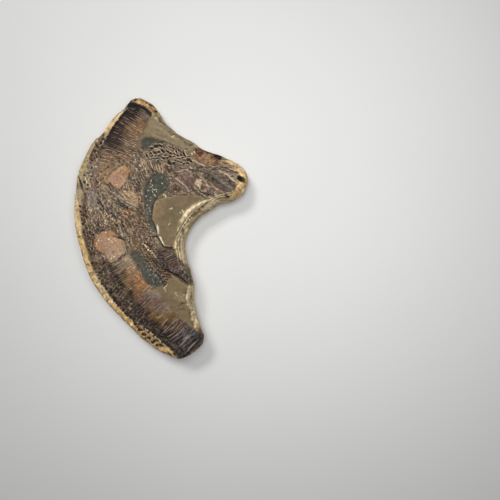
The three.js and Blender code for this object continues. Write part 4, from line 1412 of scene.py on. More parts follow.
def finish_stone(mesh):
    """Colours the stone, marks its hollows and crests for the painted shade and highlight of its
    finish, and gives each face its finish.
    """
    x, y, z = points_of(mesh).T / MM
    loose = 3.5 * smooth(26, 16, z)
    colour = paint(
        x + loose * drift(x + 2 * z, y - z, 3, 73), y + loose * drift(x - z, y + 2 * z, 3, 74))
    under = z < GIRTH + 0.1  # the girth itself and all below it
    crust = Paint(x + 1.3 * z, y - 0.9 * z)
    crust.colour[:] = tone("gold") * 0.7 + tone("straw") * 0.3
    crust.fleck(["straw", "ochre", "cream", "tan"], 6.0, 71, 0.6, 0.35)
    crust.fleck(["brown", "olive", "umber"], 2.4, 76, 0.5, 0.2)
    layers = drift(0.12 * (x + y), z + 0.05 * (x - y), 1.3, 72)
    shaded = crust.colour * (1 + 0.12 * layers)[:, None]
    side = 0.75 * smooth(21, 14, z + 2.0 * drift(x + z, y - z, 4, 75))[:, None]
    colour = colour * (1 - side) + shaded * side
    colour[under] = shaded[under] * 0.95
    set_attribute(mesh, "tint", np.clip(colour, 0, 1), "FLOAT_COLOR")
    # how far each corner lies in a hollow or stands on a crest, for the painted shade and highlight
    # of the finish
    away, width = rim_at(x, y)
    relief = np.where(under, 0, z - top_form(away, width))
    depth = 0.75 * hollows(mesh, relief, 8) + 0.25 * hollows(mesh, relief, 40)
    set_attribute(mesh, "hollow", np.clip(depth, -0.9, 0.9))
    finishes = [marl, clay, rind, bed, plate_bone]
    for material in finishes:
        mesh.materials.append(material)
    kind = np.zeros(len(x), int)
    for area in (HEAD_BED, ARM_BED, TAIL_FIN, *(band_corners(field) for field in SCALY)):
        kind[depth_in(area, x, y) > 0] = finishes.index(bed)
    for name in CLAYS:
        kind[depth_in(LEVELS[name][2], x, y) > 0] = finishes.index(clay)
    for plate in PLATES:
        kind[plate_depth(plate, x, y) > 0] = finishes.index(plate_bone)
    kind[(away < width * 0.6) | (z < GIRTH + 1)] = finishes.index(rind)
    corners = np.zeros(len(mesh.polygons) * 3, np.int32)
    mesh.polygons.foreach_get("vertices", corners)
    mesh.polygons.foreach_set("material_index", kind[corners[::3]].astype(np.int32))


# ---------------------------------------------------------------- shapes that are repeated
def add_shape(name, vertices, faces):
    """A shape to repeat, from -1 to 1 each way. Its corners keep their height, for the tint's
    painted shade at the foot and highlight on top.
    """
    mesh = make_mesh(name, vertices, faces)
    set_attribute(mesh, "crest", [height for _, _, height in vertices])
    return add_object(name, mesh)


def pad(name, sides, rings):
    """A closed pad: rings of corners from the foot up, each (radius, height), and a middle."""
    vertices = []
    for radius, height in rings:
        for k in range(sides):
            angle = math.tau * (k + 0.5) / sides
            vertices.append((radius * math.cos(angle), radius * math.sin(angle), height))
    vertices += [(0, 0, 1.0), (0, 0, rings[0][1])]
    faces = []
    for ring in range(len(rings) - 1):
        for k in range(sides):
            a, b = ring * sides + k, ring * sides + (k + 1) % sides
            faces.append((a, b, b + sides, a + sides))
    last = (len(rings) - 1) * sides
    for k in range(sides):
        faces.append((last + k, last + (k + 1) % sides, len(vertices) - 2))
        faces.append(((k + 1) % sides, k, len(vertices) - 1))
    return add_shape(name, vertices, faces)


def bar(name):
    """A long low scale, 2 long and 2 wide, rounded at its ends, with a crest along its middle."""
    side = [(1, 0.35), (0.88, 0.9), (0.4, 1), (-0.15, 0.9), (-0.6, 1), (-0.92, 0.85), (-1, 0.3)]
    outline = side + [(x, -y) for x, y in reversed(side)]
    count = len(outline)
    vertices = []
    for inset, height in ((0, -1), (0, 0.05), (0.55, 0.8)):
        vertices += [(x * (1 - 0.12 * inset), y * (1 - inset), height) for x, y in outline]
    crest = len(vertices)
    vertices += [(x * 0.9, 0, 1.0) for x, _ in side]
    faces = []
    for ring in (0, 1):
        for k in range(count):
            a, b = ring * count + k, ring * count + (k + 1) % count
            faces.append((b, a, a + count, b + count))
    top = 2 * count
    for k in range(len(side) - 1):
        faces.append((top + k + 1, top + k, crest + k, crest + k + 1))
        faces.append((top + count - 1 - k, top + count - 2 - k, crest + k + 1, crest + k))
    faces.append((top, top + count - 1, crest))
    faces.append((top + len(side), top + len(side) - 1, crest + len(side) - 1))
    faces.append(tuple(range(count)))
    return add_shape(name, vertices, faces)


# ---------------------------------------------------------------- the tree that lays pieces down
ROUND_ABOUT = 1.15  # how much larger than a piece the room is that it needs
FROM_GIRTH = 0.5  # how far in from the girth a piece stays, in mm
RAY_START, RAY_LENGTH = 0.1, 0.2  # height and length of the rays that find the stone, in metres


def laying_tree():
    """Puts a shape on every point, turned, sized and leant, lets it down on the stone, wears it."""
    tree = bpy.data.node_groups.new("lay pieces on stone", "GeometryNodeTree")
    for name, kind in (
        ("Geometry", "Geometry"), ("Shape", "Object"), ("Stone", "Object"), ("Finish", "Material"),
        ("Lean", "Float"), ("Size spread", "Float"), ("Sink", "Float"), ("Wear depth", "Float"),
        ("Wear grain", "Float"), ("Seed", "Int"),
    ):
        tree.interface.new_socket(name, in_out="INPUT", socket_type="NodeSocket" + kind)
    tree.interface.new_socket("Geometry", in_out="OUTPUT", socket_type="NodeSocketGeometry")
    given = tree.nodes.new("NodeGroupInput").outputs

    def outputs_of(kind, *feeds, **values):
        return add_node(tree, kind, feeds=feeds, **values).outputs

    def named(name):
        kind = "GeometryNodeInputNamedAttribute"
        return outputs_of(kind, name, data_type="FLOAT_VECTOR")["Attribute"]

    def maths(operation, a, b):
        return outputs_of("ShaderNodeMath", a, b, operation=operation)[0]

    def scaled(vector, by):
        return outputs_of("ShaderNodeVectorMath", vector, operation="SCALE", Scale=by)[0]

    lean = outputs_of(
        "FunctionNodeRandomValue", data_type="FLOAT_VECTOR",
        Min=(-1, -1, -0.6), Max=(1, 1, 0.6), Seed=given["Seed"])[0]
    turn = outputs_of(
        "ShaderNodeVectorMath", scaled(lean, given["Lean"]), named("turn"), operation="ADD")[0]
    least = maths("SUBTRACT", 1.0, given["Size spread"])
    most = maths("ADD", 1.0, given["Size spread"])
    spread = outputs_of(
        "FunctionNodeRandomValue", None, None, least, most,
        data_type="FLOAT", Seed=maths("ADD", given["Seed"], 5.0))[1]
    laid = outputs_of(
        "GeometryNodeInstanceOnPoints", given["Geometry"], Rotation=turn,
        Instance=outputs_of("GeometryNodeObjectInfo", given["Shape"])["Geometry"],
        Scale=scaled(named("size"), spread))[0]
    solid = outputs_of("GeometryNodeRealizeInstances", laid)[0]
    # each corner is let down on the stone under it
    here = outputs_of("GeometryNodeInputPosition")[0]
    split = outputs_of("ShaderNodeSeparateXYZ", here)
    above = outputs_of("ShaderNodeCombineXYZ", split["X"], split["Y"], RAY_START)[0]
    hit = outputs_of(
        "GeometryNodeRaycast",
        Source_Position=above, Ray_Direction=(0, 0, -1), Ray_Length=RAY_LENGTH,
        Target_Geometry=outputs_of("GeometryNodeObjectInfo", given["Stone"])["Geometry"])
    under = outputs_of("ShaderNodeSeparateXYZ", hit["Hit Position"])["Z"]
    wear_noise = outputs_of(
        "ShaderNodeTexNoise", here, Detail=3, Scale=maths("DIVIDE", 1.0, given["Wear grain"]))[0]
    wear_and_painted_light = maths("MULTIPLY", maths("SUBTRACT", wear_noise, 0.42), given["Wear depth"])
    lift = maths("SUBTRACT", under, maths("ADD", wear_and_painted_light, given["Sink"]))
    offset = outputs_of("ShaderNodeCombineXYZ", Z=lift)[0]
    down = outputs_of("GeometryNodeSetPosition", solid, Offset=offset)[0]
    finished = outputs_of("GeometryNodeSetMaterial", down, Material=given["Finish"])[0]
    tree.links.new(finished, tree.nodes.new("NodeGroupOutput").inputs[0])
    return tree


def on_the_stone(measures):
    """Which pieces lie wholly on the stone, from eight places round the edge of each."""
    x, y, turn, length, width, _ = measures.T
    well_in = np.ones(len(measures), bool)
    for angle in np.linspace(0, math.tau, 8, endpoint=False):
        u, v = ROUND_ABOUT * length * math.cos(angle), ROUND_ABOUT * width * math.sin(angle)
        east = x + u * np.cos(turn) - v * np.sin(turn)
        north = y + u * np.sin(turn) + v * np.cos(turn)
        well_in &= is_inside(girth[:, :2], east, north) & (rim_at(east, north)[0] > FROM_GIRTH)
    return well_in


def lay_pieces(
        name, places, shape, finish, lean=0.0, spread=0.0, sink=0.2, wear=0.3, wear_grain=1.5,
        seed=1):
    """One mesh of pieces laid on the stone; lean is in radians, sink, wear and its grain in mm."""
    measures = np.array([place[:6] for place in places], float)
    well_in = on_the_stone(measures)
    x, y, turn, length, width, height = measures[well_in].T
    guide_mesh = make_mesh(name + "_guide", np.c_[x, y, 0 * x] * MM, [], False)
    set_attribute(guide_mesh, "turn", np.c_[0 * x, 0 * x, turn], "FLOAT_VECTOR")
    set_attribute(guide_mesh, "size", np.c_[length, width, height] * MM, "FLOAT_VECTOR")
    set_attribute(guide_mesh, "rank", chance(np.arange(len(x)), seed))
    own = [place[6] for place, good in zip(places, well_in) if good]
    names = sorted(TONES)
    set_attribute(guide_mesh, "own_tone", [names.index(pick) if pick else -1 for pick in own])
    guide = add_object(name + "_guide", guide_mesh)
    modifier = guide.modifiers.new("lay", "NODES")
    modifier.node_group = laying
    sockets = {s.name: s.identifier for s in laying.interface.items_tree if s.in_out == "INPUT"}
    for key, value in (
        ("Shape", shape), ("Stone", stone), ("Finish", finish), ("Lean", float(lean)),
        ("Size spread", float(spread)), ("Sink", sink * MM), ("Wear depth", wear * MM),
        ("Wear grain", wear_grain * MM), ("Seed", seed),
    ):
        modifier[sockets[key]] = value
    depsgraph = bpy.context.evaluated_depsgraph_get()
    mesh = bpy.data.meshes.new_from_object(
        guide.evaluated_get(depsgraph), preserve_all_data_layers=True, depsgraph=depsgraph)
    bpy.data.objects.remove(guide)
    mesh.name = name
    mesh.shade_smooth()
    return add_object(name, mesh)


def tint_pieces(piece, blend=0.5, dark=0.35, light=1.35, foot=None, vary=0.3, edge=0.9):
    """Colours laid pieces: the stone's own colour or their tone, with painted shade at the foot and
    a painted highlight on top.

    foot is the tone that the foot of each piece keeps, where it isn't its own.
    """
    mesh = piece.data
    x, y, _ = points_of(mesh).T / MM
    crest = get_attribute(mesh, "crest")
    rank = get_attribute(mesh, "rank")
    own = np.round(get_attribute(mesh, "own_tone")).astype(int)
    colour = paint(x, y, fine=False)
    names = sorted(TONES)
    for k in np.unique(own[own >= 0]):
        mine = own == k
        colour[mine] = colour[mine] * (1 - blend) + tone(names[k]) * blend
    broken = drift(x, y, 2.2, 81) + 0.6 * drift(x, y, 1.1, 82)
    # level runs from foot to crest: dark is the painted shade at the foot, light the painted
    # highlight on top; a foot tone takes the shade's place
    level = np.clip(smooth(0.0, edge, crest) + vary * broken, 0, 1)[:, None]
    if foot:
        low = tone(foot) * (1 + 0.5 * broken[:, None])
        shaded = low * (1 - level) + colour * light * level
    else:
        shaded = colour * (dark + (light - dark) * level)
    shaded *= 1 + vary * (chance(rank, 3.0) - 0.5)[:, None] + 0.5 * vary * broken[:, None]
    set_attribute(mesh, "tint", np.clip(shaded, 0.003, 0.95), "FLOAT_COLOR")
    set_attribute(mesh, "hollow", 0.1 * drift(x, y, 2.0, 83))


# ---------------------------------------------------------------- where the pieces lie
MISSING = 0.05  # share of the flank scales that are missing
BROKEN = 0.4  # share of them that are broken in two


def one_of(tones, draw):
    """The tone that a draw from 0 to 1 falls on."""
    return tones[int(draw * len(tones))]


# Places are rows of x, y, turn, half length, half width, height and tone


def flank_places(band, height, seed):
    """Thin scales side by side along the rungs of a flank, in columns, some broken or missing."""
    outer, inner = edges_of(band, 1.0)
    run = len(outer) - 1
    places = []
    for number, (near_end, far_end, first, last, width) in enumerate(band["columns"]):
        count = round(run * (last - first) / band["pitch"])
        for k in range(count):
            draw = [chance(k, number, seed + n) for n in range(10)]
            share = (k + 0.5 + 0.5 * (draw[1] - 0.5)) / count
            if draw[0] < MISSING or draw[0] < (share - 0.8) * 3 * band.get("fading", 0):
                continue
            at = (first + (last - first) * share) * run
            tones = next(names for limit, names in band["tones"] if at < limit * run)
            a, b = point_at(outer, at), point_at(inner, at)
            low = near_end + 0.12 * (draw[2] - 0.5)
            high = far_end + 0.16 * (draw[3] - 0.5)
            gap = low + (high - low) * (0.3 + 0.4 * draw[4])
            parts = [(low, gap - 0.02), (gap + 0.03, high)] if draw[5] < BROKEN else [(low, high)]
            for start, end in parts:
                p, q = a + (b - a) * start, a + (b - a) * end
                turn = math.atan2(*(q - p)[::-1]) + 0.12 * (draw[6] - 0.5)
                grow = 0.75 + 0.5 * draw[7]
                half = np.hypot(*(q - p)) / 2
                pick = one_of(tones, chance(k, start, seed + 9))
                places.append((*(p + q) / 2, turn, half, width * grow / 2, height * grow, pick))
    return places


def field_places(field, pitch, row_pitch, size, turns, tones, spare=0.0, seed=1, swell=0.0):
    """Small scales in staggered rows along a band, growing along it by the share `swell`."""
    outer, inner = edges_of(field, 0.5)
    width = np.hypot(*(outer - inner).T).mean()
    rows = max(2, round(width / row_pitch))
    places = []
    for row in range(rows + 1):
        line = outer + (inner - outer) * (row / rows)
        steps = run_along(line)
        for column in range(int(steps[-1] / pitch) + 1):
            at = (column + 0.5 * (row % 2)) * pitch
            if at > steps[-1] or chance(row, column, seed) < spare:
                continue
            x, y = (np.interp(at, steps, c) for c in line.T)
            x2, y2 = (np.interp(at + 1, steps, c) - np.interp(at - 1, steps, c) for c in line.T)
            x += 0.16 * pitch * (chance(row, column, seed + 2) - 0.5) * 2
            y += 0.16 * pitch * (chance(column, row, seed + 3) - 0.5) * 2
            turn = math.atan2(y2, x2) + turns[row % len(turns)]
            turn += 0.35 * (chance(row, column, seed + 4) - 0.5)
            pick = one_of(tones, chance(row, column, seed + 5))
            grow = 0.82 + 0.36 * chance(column, row, seed + 6)
            grow *= 1 + swell * (at / steps[-1] - 0.5)
            places.append((x, y, turn, size[0] * grow, size[1] * grow, size[2] * grow, pick))
    return places


def rays_between(starts, ends, count, width, height, tones, seed, waver=0.8):
    """Rays side by side: each runs from a place on one line to the same place on another."""
    a, b = curve_through(starts, 1.0), curve_through(ends, 1.0)
    places = []
    for k in range(count):
        at = (k + 0.5) / count
        p, q = (point_at(edge, at * (len(edge) - 1)) for edge in (a, b))
        p = p + waver * (chance(k, 1.0, seed) - 0.5) * 2
        q = q + waver * (chance(k, 2.0, seed) - 0.5) * 2
        middle = (p + q) / 2 + (q - p) * (chance(k, 4.0, seed) - 0.5) * 0.1
        run = (q - p) * (1 - 0.15 * chance(k, 3.0, seed))
        turn, half = math.atan2(run[1], run[0]), np.hypot(*run) / 2
        pick = one_of(tones, chance(k, 5.0, seed))
        places.append((*middle, turn, half, width / 2, height, pick))
    return places


def hatch_places(area, angle, pitch, length, width, height, tones, seed, keep):
    """Short rays laid all over an area, all one way, end to end in staggered rows."""
    area = np.array(area, float)
    low, high = area.min(0) - 2, area.max(0) + 2
    middle = (low + high) / 2
    reach = np.hypot(*(high - low)) / 2
    ahead = np.array([math.cos(angle), math.sin(angle)])
    aside = np.array([-ahead[1], ahead[0]])
    places = []
    for row in range(-int(reach / pitch), int(reach / pitch) + 1):
        for step in range(-int(reach / length) - 1, int(reach / length) + 2):
            shift = chance(row, 2.0, seed)
            at = middle + aside * (row + 0.3 * (chance(row, step, seed) - 0.5)) * pitch
            at = at + ahead * (step + shift) * length
            if chance(step, row, seed + 1) > keep or depth_in(area, at[:1], at[1:])[0] < 0.6:
                continue
            pick = one_of(tones, chance(row, step, seed + 2))
            grow = 0.75 + 0.5 * chance(row, step, seed + 3)
            turn = angle + 0.16 * (chance(step, row, seed + 4) - 0.5)
            places.append((*at, turn, length * 0.52 * grow, width / 2, height * grow, pick))
    return places


def graded(places):
    """The same scales, browner at the upper end of the back and blacker at the lower end."""
    told = []
    for x, y, *rest, pick in places:
        draw = chance(x, y)
        if draw < 0.75 * smooth(-35, -8, x):
            pick = "black"
        elif draw > 1 - 0.7 * smooth(-42, -70, x):
            pick = one_of(("mauve", "moss", "umber", "sepia"), chance(y, x))
        told.append((x, y, *rest, pick))
    return told


def single_places(rows):
    """Bones and chips given one by one: tone, width, height, and the two ends of each."""
    places = []
    for name, width, height, ends in rows:
        for (ax, ay), (bx, by) in zip(ends[::2], ends[1::2]):
            turn = math.atan2(by - ay, bx - ax)
            length = max(math.hypot(bx - ax, by - ay), width)
            places.append(((ax + bx) / 2, (ay + by) / 2, turn, length / 2, width / 2, height, name))
    return places


def sliver_places(area, holes, pitch, length, width, height, tones, seed):
    """Slivers of crushed bone all over an area but its holes, turned like the bones near them."""
    x, y = lattice(pitch, seed)
    clear = (depth_in(area, x, y) > 0.8) & (calm_at(x, y) < 0.3)
    for hole in holes:
        clear &= depth_in(hole, x, y) < -0.8
    for plate in PLATES:
        clear &= plate_depth(plate, x, y) < -1.0
    for _, half, _, _, line in LINES:
        clear &= nearest_on(line, x, y)[0] > half + 0.7
    x, y = x[clear], y[clear]
    turns, patches = grain_at(x, y), drift(x, y, 8, seed + 7)
    places = []
    for k, (px, py, turn, patch) in enumerate(zip(x, y, turns, patches)):
        grow = 0.5 + chance(k, 3.0, seed)
        among = np.clip(0.5 + 0.6 * patch + 0.55 * (chance(k, 4.0, seed) - 0.5), 0, 0.999)
        pick = one_of(tones, among)
        broad = 0.7 + 0.6 * chance(k, 5.0, seed)
        turn += 0.4 * (chance(k, 2.0, seed) - 0.5)
        places.append((px, py, turn, length * grow, width * broad, height * broad, pick))
    return places


def rim_places(count, seed):
    """Crumbs of rind strewn round the rim, few of them over the bay and none in the eye hole."""
    places = []
    for k in range(count):
        i = int(chance(k, 1.0, seed) * len(girth))
        inset = girth[i, 2] * (0.28 + 0.42 * chance(k, 2.0, seed))
        x, y = girth[i, :2] + inward[i] * inset
        if -20 < x < 90 and y > 15 and chance(k, 6.0, seed) < 0.8:
            continue
        if eye_place(x, y) < 1.8:
            continue
        size = 0.9 + 1.5 * chance(k, 3.0, seed) ** 2
        places.append((x, y, 6.3 * chance(k, 4.0, seed), size, size * 0.75, 0.45 * size, ""))
    return places


# ---------------------------------------------------------------- what lies there, one by one
HEAD_SPLINTERS = table("""
pale ash 1 0.9: 101 196,102.5 199,104 203,103 206,106 199,108 201,99 207,98 211,108 206,110.5 207,
 111 211,109 213,104 212,106 215,113 200,114.5 203;
black 1.2 0.7: 102 193,104 196,100 201,101.5 204,106 203,107.5 206,111 197,113 199,103 208,105 210,
 107 194,109 195,112 204,113.5 208,99 212,101 215;
soot 2.6 0.6: 134 185.5,137.5 191;
black 1.1 0.7: 86.5 161,88.5 160,88 166,88.5 169,86 177,87.5 180,86 183,88 187,92 171,94 173,96 176,
 98 179;
ash 1.9 1: 118 196,127 201,129 202,137 207,119 192,126 197,129 190,136 196;
bone 1.3 1: 121 194,131 201,124 190,133 197,127 189,135 194,131 203,139 207;
bone 1.2 1: 99 186,105 192,102 183,109 190,98 191,103 197,106 192,111 198;
soot 1 0.7: 104 190,109 196,101 194,105 200,108 186,113 191;
grey bone 1.3 1: 108 201,114 206,110 198,116 203,103 214,107 220,99 216,102 223;
black 1.5 0.8: 108 210,112 214,113 213,116 218,106 206,109 210;
tan 1.4 0.9: 112 222,117 230,108 221,112 228,104 224,106 231;
bone 1 1: 117 220,119.5 227,119.5 227,122 234,123.5 218,126 226,126 226,128.5 233;
umber 1.2 0.9: 121 222,123 230,114 222,117 229,129 222,133 229,133 219,137 226;
cream 0.8 0.9: 112 217,114 222,110 215,111 219,127 236,129 240,131 241,134 246;
bone 1 0.9: 123 240,125 246,125 246,127 253,128 244,131 250,121 234,124 239;
tan 1.3 1: 126 213,133 216,124 216,130 219,128 210,135 214,132 219,139 223;
bone 1 1: 133 222,139 226,136 229,142 232,128 226,133 231,140 216,145 220;
black 0.9 0.7: 137 223,141 225,142 227,147 229,131 224,134 228,126 209,131 211;
bone 1 1: 136 160,139 166,140 158,142 164,132 167,136 174,144 165,148 172,140 170,143 177;
grey bone 1.1 0.9: 133 176,138 182,129 182,134 188,138 178,142 184,142 175,146 181;
umber 1 0.7: 134 163,137 169,138 172,141 178,130 176,134 182,143 168,146 174;
brown 1.2 0.8: 141 184,143 190,139 190,141 196,142 197,143 203,138 200,140 206,142 206,144 212;
mauve 1.2 0.8: 89 169,93 175,94 166,98 172,92 180,97 186,99 176,103 181;
straw 1 0.9: 88 200,90 208,91 211,92 218,86 218,88 226,94 224,97 230,97 234,100 239;
umber 1.1 0.8: 90 217,92 225,92 229,94 236,87 205,89 212,96 220,99 227,93 236,95 243;
tan 1.4 1: 111 163,116 161,105 176,110 172,101 180,105 174,108 184,112 179,104 170,108 165;
amber 1.2 0.8: 109 168,113 164,103 177,106 173,112 187,108 184,105 186,102 183;
""")
FLANK_RIBS = table("""
tan 0.9 1.5: 128.5 117,136 120.5,123.5 120.5,130.5 124.9,130.5 124.9,136.5 131,119.6 122.5,
 124.6 125.5,114 126.5,119.6 128.5,122 131,128.5 133.5,113 132.5,119.5 134.5,126 134.5,131.5 138;
mauve 1 1.5: 129.5 112.5,135 115,132 108.5,137 110,126 127,132 130.5,118 129.5,124 132.5,111 137,
 117.5 139.5,117 141,124 144.5,109 142.5,114 144.5;
ash 0.8 1.5: 110.8 267.7,121.5 261.5,113.5 271.5,122.5 266.5,118 264.5,126 259.5,116 275,124 270,
 123.5 263.5,130 260;
bone 0.8 1.5: 118.5 278,128 271.5,120 283.5,126.5 279.5,128 290.6,135.7 286,131.5 297.5,142.5 292.5,
 134.5 302,145 296.5,125 287,131 283.5;
lavender 0.8 1.5: 138 304.1,147.5 295.5,145 306.5,154 298.5,149.5 310.5,160.5 303.5,140 297,
 149.5 290.9;
pale ash 0.7 1.5: 147.5 316.5,155.5 312,155.5 319.5,166.5 312,160.5 326,171 316.5,167.5 327.4,
 180.5 316.5,161 334,172 324.5;
ash 0.9 1.6: 163 334,180 322,166 338,178 330,168 341,186 327,178.5 347,192 333.5,184 354,
 199.8 338.2;
lavender 0.9 1.6: 172 343,190 329,179.5 347,189 336,179 350,197 336,195.1 350.5,203.5 339,186 350,
 196 341,173 338,181 332,181 341,190 334;
""")
HEAD_RIBS = table("""
peach 1.3 1.2: 101 152,113 155,100 155,112 158.5,99.5 158.5,111 161.5,99 162,109 164.5,104 149,
 116 152,114 154.5,123 157,113 158.5,121 161,112 162,119 164.5,117 151,126 154;
brown 1.2 1.1: 100.5 153.5,112 156.8,99.5 157,111 160,99 160.5,110 163,113 156.5,121 159,104 151,
 114 153.5,112 160.5,120 163;
""")
ARM_SPLINTERS = table("""
pale ash 0.9 0.9: 193 160,199 164,199 163,205 166,214 167,222 165,220 160,229 162,230 162,239 164;
tan 1.6 0.9: 196 157,199 154,199 161,203 157,204 163,208 160,208 165,212 162,221 163.5,230 165;
rust 1.8 0.9: 199 153,201 151,205 157,207 154,208 160,210 157,196 153,199 150,210 163,216 162;
dark rust 1.3 0.7: 215 167,221 169,213 161,217 157,206 152,212 153,218 168,223 171;
bone 1 1: 203 167,209 171,208 172,215 175,199 168,204 172,197 172,203 175,224 171,232 174;
grey bone 1.1 0.9: 188 171,193 174,185 167,190 170,193 167,198 170,190 176,195 178,200 177,206 181;
ash 0.8 0.8: 205 183,212 188,207 181,216 187,203 188,209 193,211 190,216 194;
mauve 1.7 0.8: 204 187,210 191,208 185,214 189,210 192,214 195,179 186,185 189,184 175,192 179;
plum 1.2 0.7: 176 184,180 188,181 189,186 192,190 183,194 189,186 178,190 184;
soot 1.1 0.6: 220 167,228 169,230 170,237 173,203 192,209 194.5,209 194.5,214 193;
""")
STONE_CHIPS = table("""
pale ash 3.2 0.7: 197 180,200 185;
cream 3.6 0.9: 184 219,185.5 216,187 214.5,189.5 211.5,191 210,194 208,195 207,198.5 205.5,
 200 204.5,204 202.5,206 201.5,210 200;
cream 1.8 0.7: 206 206.5,210 204,211 203.5,215 202,216 201.5,221 200.5;
chalk 3.6 0.9: 158 224,158.8 235.5;
chalk 1.1 0.6: 160 237,163 244;
cream 1.5 0.6: 172 207.5,172.5 209.5,183 214,184.5 211,170.5 222.5,168.5 226;
cream 1 0.5: 182 299,183.5 300.5,185.5 298,187 299,188.5 302.5,190 303.5,191 304,192 305,176 294.5,
 178 295.5,186 294,187 295.5;
brown 1.2 0.4: 176 305,179 305.5,181 303,184 302,180.5 309.5,182.5 308.5,172 280,174 281.5,169 277,
 171 277.5;
chalk 0.8 0.5: 150.5 179,151 182,149.5 182.5,150.5 184,152 188,153.5 190.5,153.5 190.5,155 188.5,
 155 188.5,156.5 190,156.5 190,155.5 192.5,151.5 190,153 193,153 193,156 197,161.5 182.5,163 184,
 149 187,152 186.5;
pale ash 0.5 0.5: 161 175,162.5 178.5,165.5 177,168 181,147 189.5,148.5 191.5,148.5 185,149.5 188,
 146.5 204,147.5 206.5,149 210,150 212.5,147 199,148 201,146 207,147 209.5,150 196,151 198.5,
 148 176,149.5 178,158 201,159 203.5;
cream 1.6 0.6: 163.5 195,166.5 195.5,165 198,167 197,171 138,175 135,193 142,196 146,192 153,
 192.5 155;
pale marl 1.8 0.4: 176 297,180 295.5,180 298,184 297,186 304,189 302,188 299,190 298,187 306,
 190 306;
grey bone 0.5 0.4: 157 279,159 277,160 283,162 281,150 271,151 269,155 276,156 274,146 264,147 266;
cream 1.3 0.6: 105 233,108 232,97 242,98 246,109 240,112 241,118 170,121 169,116 184,119 186;
""")
RIND_BLOTCHES = table("""
black 4.8 2: 109.5 290.5,112 294.5,112.5 295.5,116 300.5,117 301.5,121 306;
black 2.8 1.6: 105 287.5,107 290,101.5 279,103 281.5,122.5 308.5,124.5 310.5,98.5 271,100 274;
black 3.6 1.8: 176 351,178 353.5,180 352,181.5 354.5,182.5 354.5,184.5 356,186.5 351.5,188.5 353,
 180 347,182 349.5,171.5 348,174 350.5;
black 4.6 1.2: 134 323,136 324.5,138 328.5,140.5 330.5,142.5 333,144 335,147.5 336.5,149.5 338.5,
 151.5 341.5,154 343;
black 3.5 1.2: 136 326,138.5 327.5,140 329,143 331,144.5 333,146 336,148.5 337,151 338.5,150.5 341,
 153 342;
black 4.2 1.3: 153.5 339,156 342,156 343.5,158.5 346,159.5 343.5,162 346;
black 2.4 1: 144 338,146 339.5,168 353.5,171 354.5,173 353,176 355.5,137 330,139 331;
soot 2.9 1: 132 320.5,135 322,137 323.5,140.5 325,143 328,145 330,147 331.5,150 333,152 335,
 155 336.5,156 339,159 341;
soot 2.4 0.9: 161 341,164 343,165 343.5,168 346,170 348,172 351,184 346,190 349;
black 2.2 0.8: 133 322,137 325,128 315,132 318,189 338,195 336,196 331,200 329,186 354,191 352;
black 3.2 1: 131 105,128.5 108,126.5 110.5,124 113.5,122 116,120 118.5,118 121,116 124,114 126.5,
 112 129.5;
black 2.2 0.8: 132 104,138 106,141 107,147 111,147 111,150 115,129 108,131 105;
black 3.2 1.5: 145.5 102.5,147.5 103,148.5 104,151 104.5,151.5 105.5,154 107.5,154 108.5,155.5 110;
black 2.4 0.8: 134.5 101,136.5 100,127.5 109,125.5 111.5,124 113.5,122 115.5,120.5 117.5,119 119.5,
 117 121.5,115.5 123.5;
black 5.2 1.6: 206 152.3,210 152.3,210 152.5,213.5 154,213.5 154.5,217.5 156.5,217 156.5,221 159;
black 2.6 0.8: 113.5 126,112.5 128.5,111 130.5,110 133,108.5 135.5,107.5 137.5,106.5 140,105.5 142;
""")


def threads_beside(dashes, seed):
    """Pale threads along one or both sides of each dark dash."""
    places = []
    for k, (x, y, turn, length, width, _, _) in enumerate(dashes):
        side = 1 if math.cos(turn) > 0 else -1
        for way in (side, -side)[: 1 + (chance(k, 1.0, seed) < 0.7)]:
            away = way * (width + 0.35)
            pick = one_of(("ash", "pale ash", "bone", "pale ash"), chance(k, 2.0 + way, seed))
            place = (x - away * math.sin(turn), y + away * math.cos(turn))
            places.append((*place, turn, length + 0.8, 0.75, 1.4, pick))
    return places


# drawn a little too short and too thin, the throat's dashes are laid this much larger
LONGER, WIDER = 1.25, 1.85
throat_dashes = [
    (x, y, turn, LONGER * length, *rest)
    for x, y, turn, length, *rest in single_places(
        [(name, WIDER * width, height, ends) for name, width, height, ends in THROAT_SCALES])]
tail_dashes = field_places(
    TAIL_FIELD, 3.3, 3.1, (1.25, 0.95, 0.8), (0.5, 0.9), ("black", "soot", "black"), 0.06, 14,
    swell=0.3)
pits = throat_dashes + tail_dashes  # each lies in a pit of its own
bones = single_places(HEAD_SPLINTERS) + single_places(ARM_SPLINTERS)
bone_grain = [place[:3] for place in bones]  # the small crushed bone lies the way these do

# ---------------------------------------------------------------- the stone, then what lies on it
stone = add_object("fossil_stone", stone_mesh())
finish_stone(stone.data)
laying = laying_tree()

ridge_shape = bar("scale_ridge_shape")
back_shape = pad("back_scale_shape", 6, [(1, -1), (1.0, 0.1), (0.88, 0.75), (0.5, 0.95)])
grain_shape = pad("grain_shape", 8, [(1, -1), (1.0, 0.0), (0.8, 0.62), (0.42, 0.93)])
sliver_shape = pad("sliver_shape", 6, [(1, -1), (1.0, 0.1), (0.6, 0.85)])
chip_shape = pad("chip_shape", 5, [(1, -1), (1.0, 0.5), (0.88, 0.95)])

upper_flank = lay_pieces(
    "upper_flank_scales", flank_places(UPPER_FLANK, 1.3, 3), ridge_shape, bed,
    lean=0.03, sink=0.1, wear=0.9, wear_grain=4.0, seed=3)
lower_flank = lay_pieces(
    "lower_flank_scales", flank_places(LOWER_FLANK, 1.0, 4), ridge_shape, bed,
    lean=0.03, sink=0.1, wear=0.8, wear_grain=4.0, seed=4)
for flank in (upper_flank, lower_flank):
    tint_pieces(flank, blend=0.34, dark=0.4, light=1.55, vary=0.5)

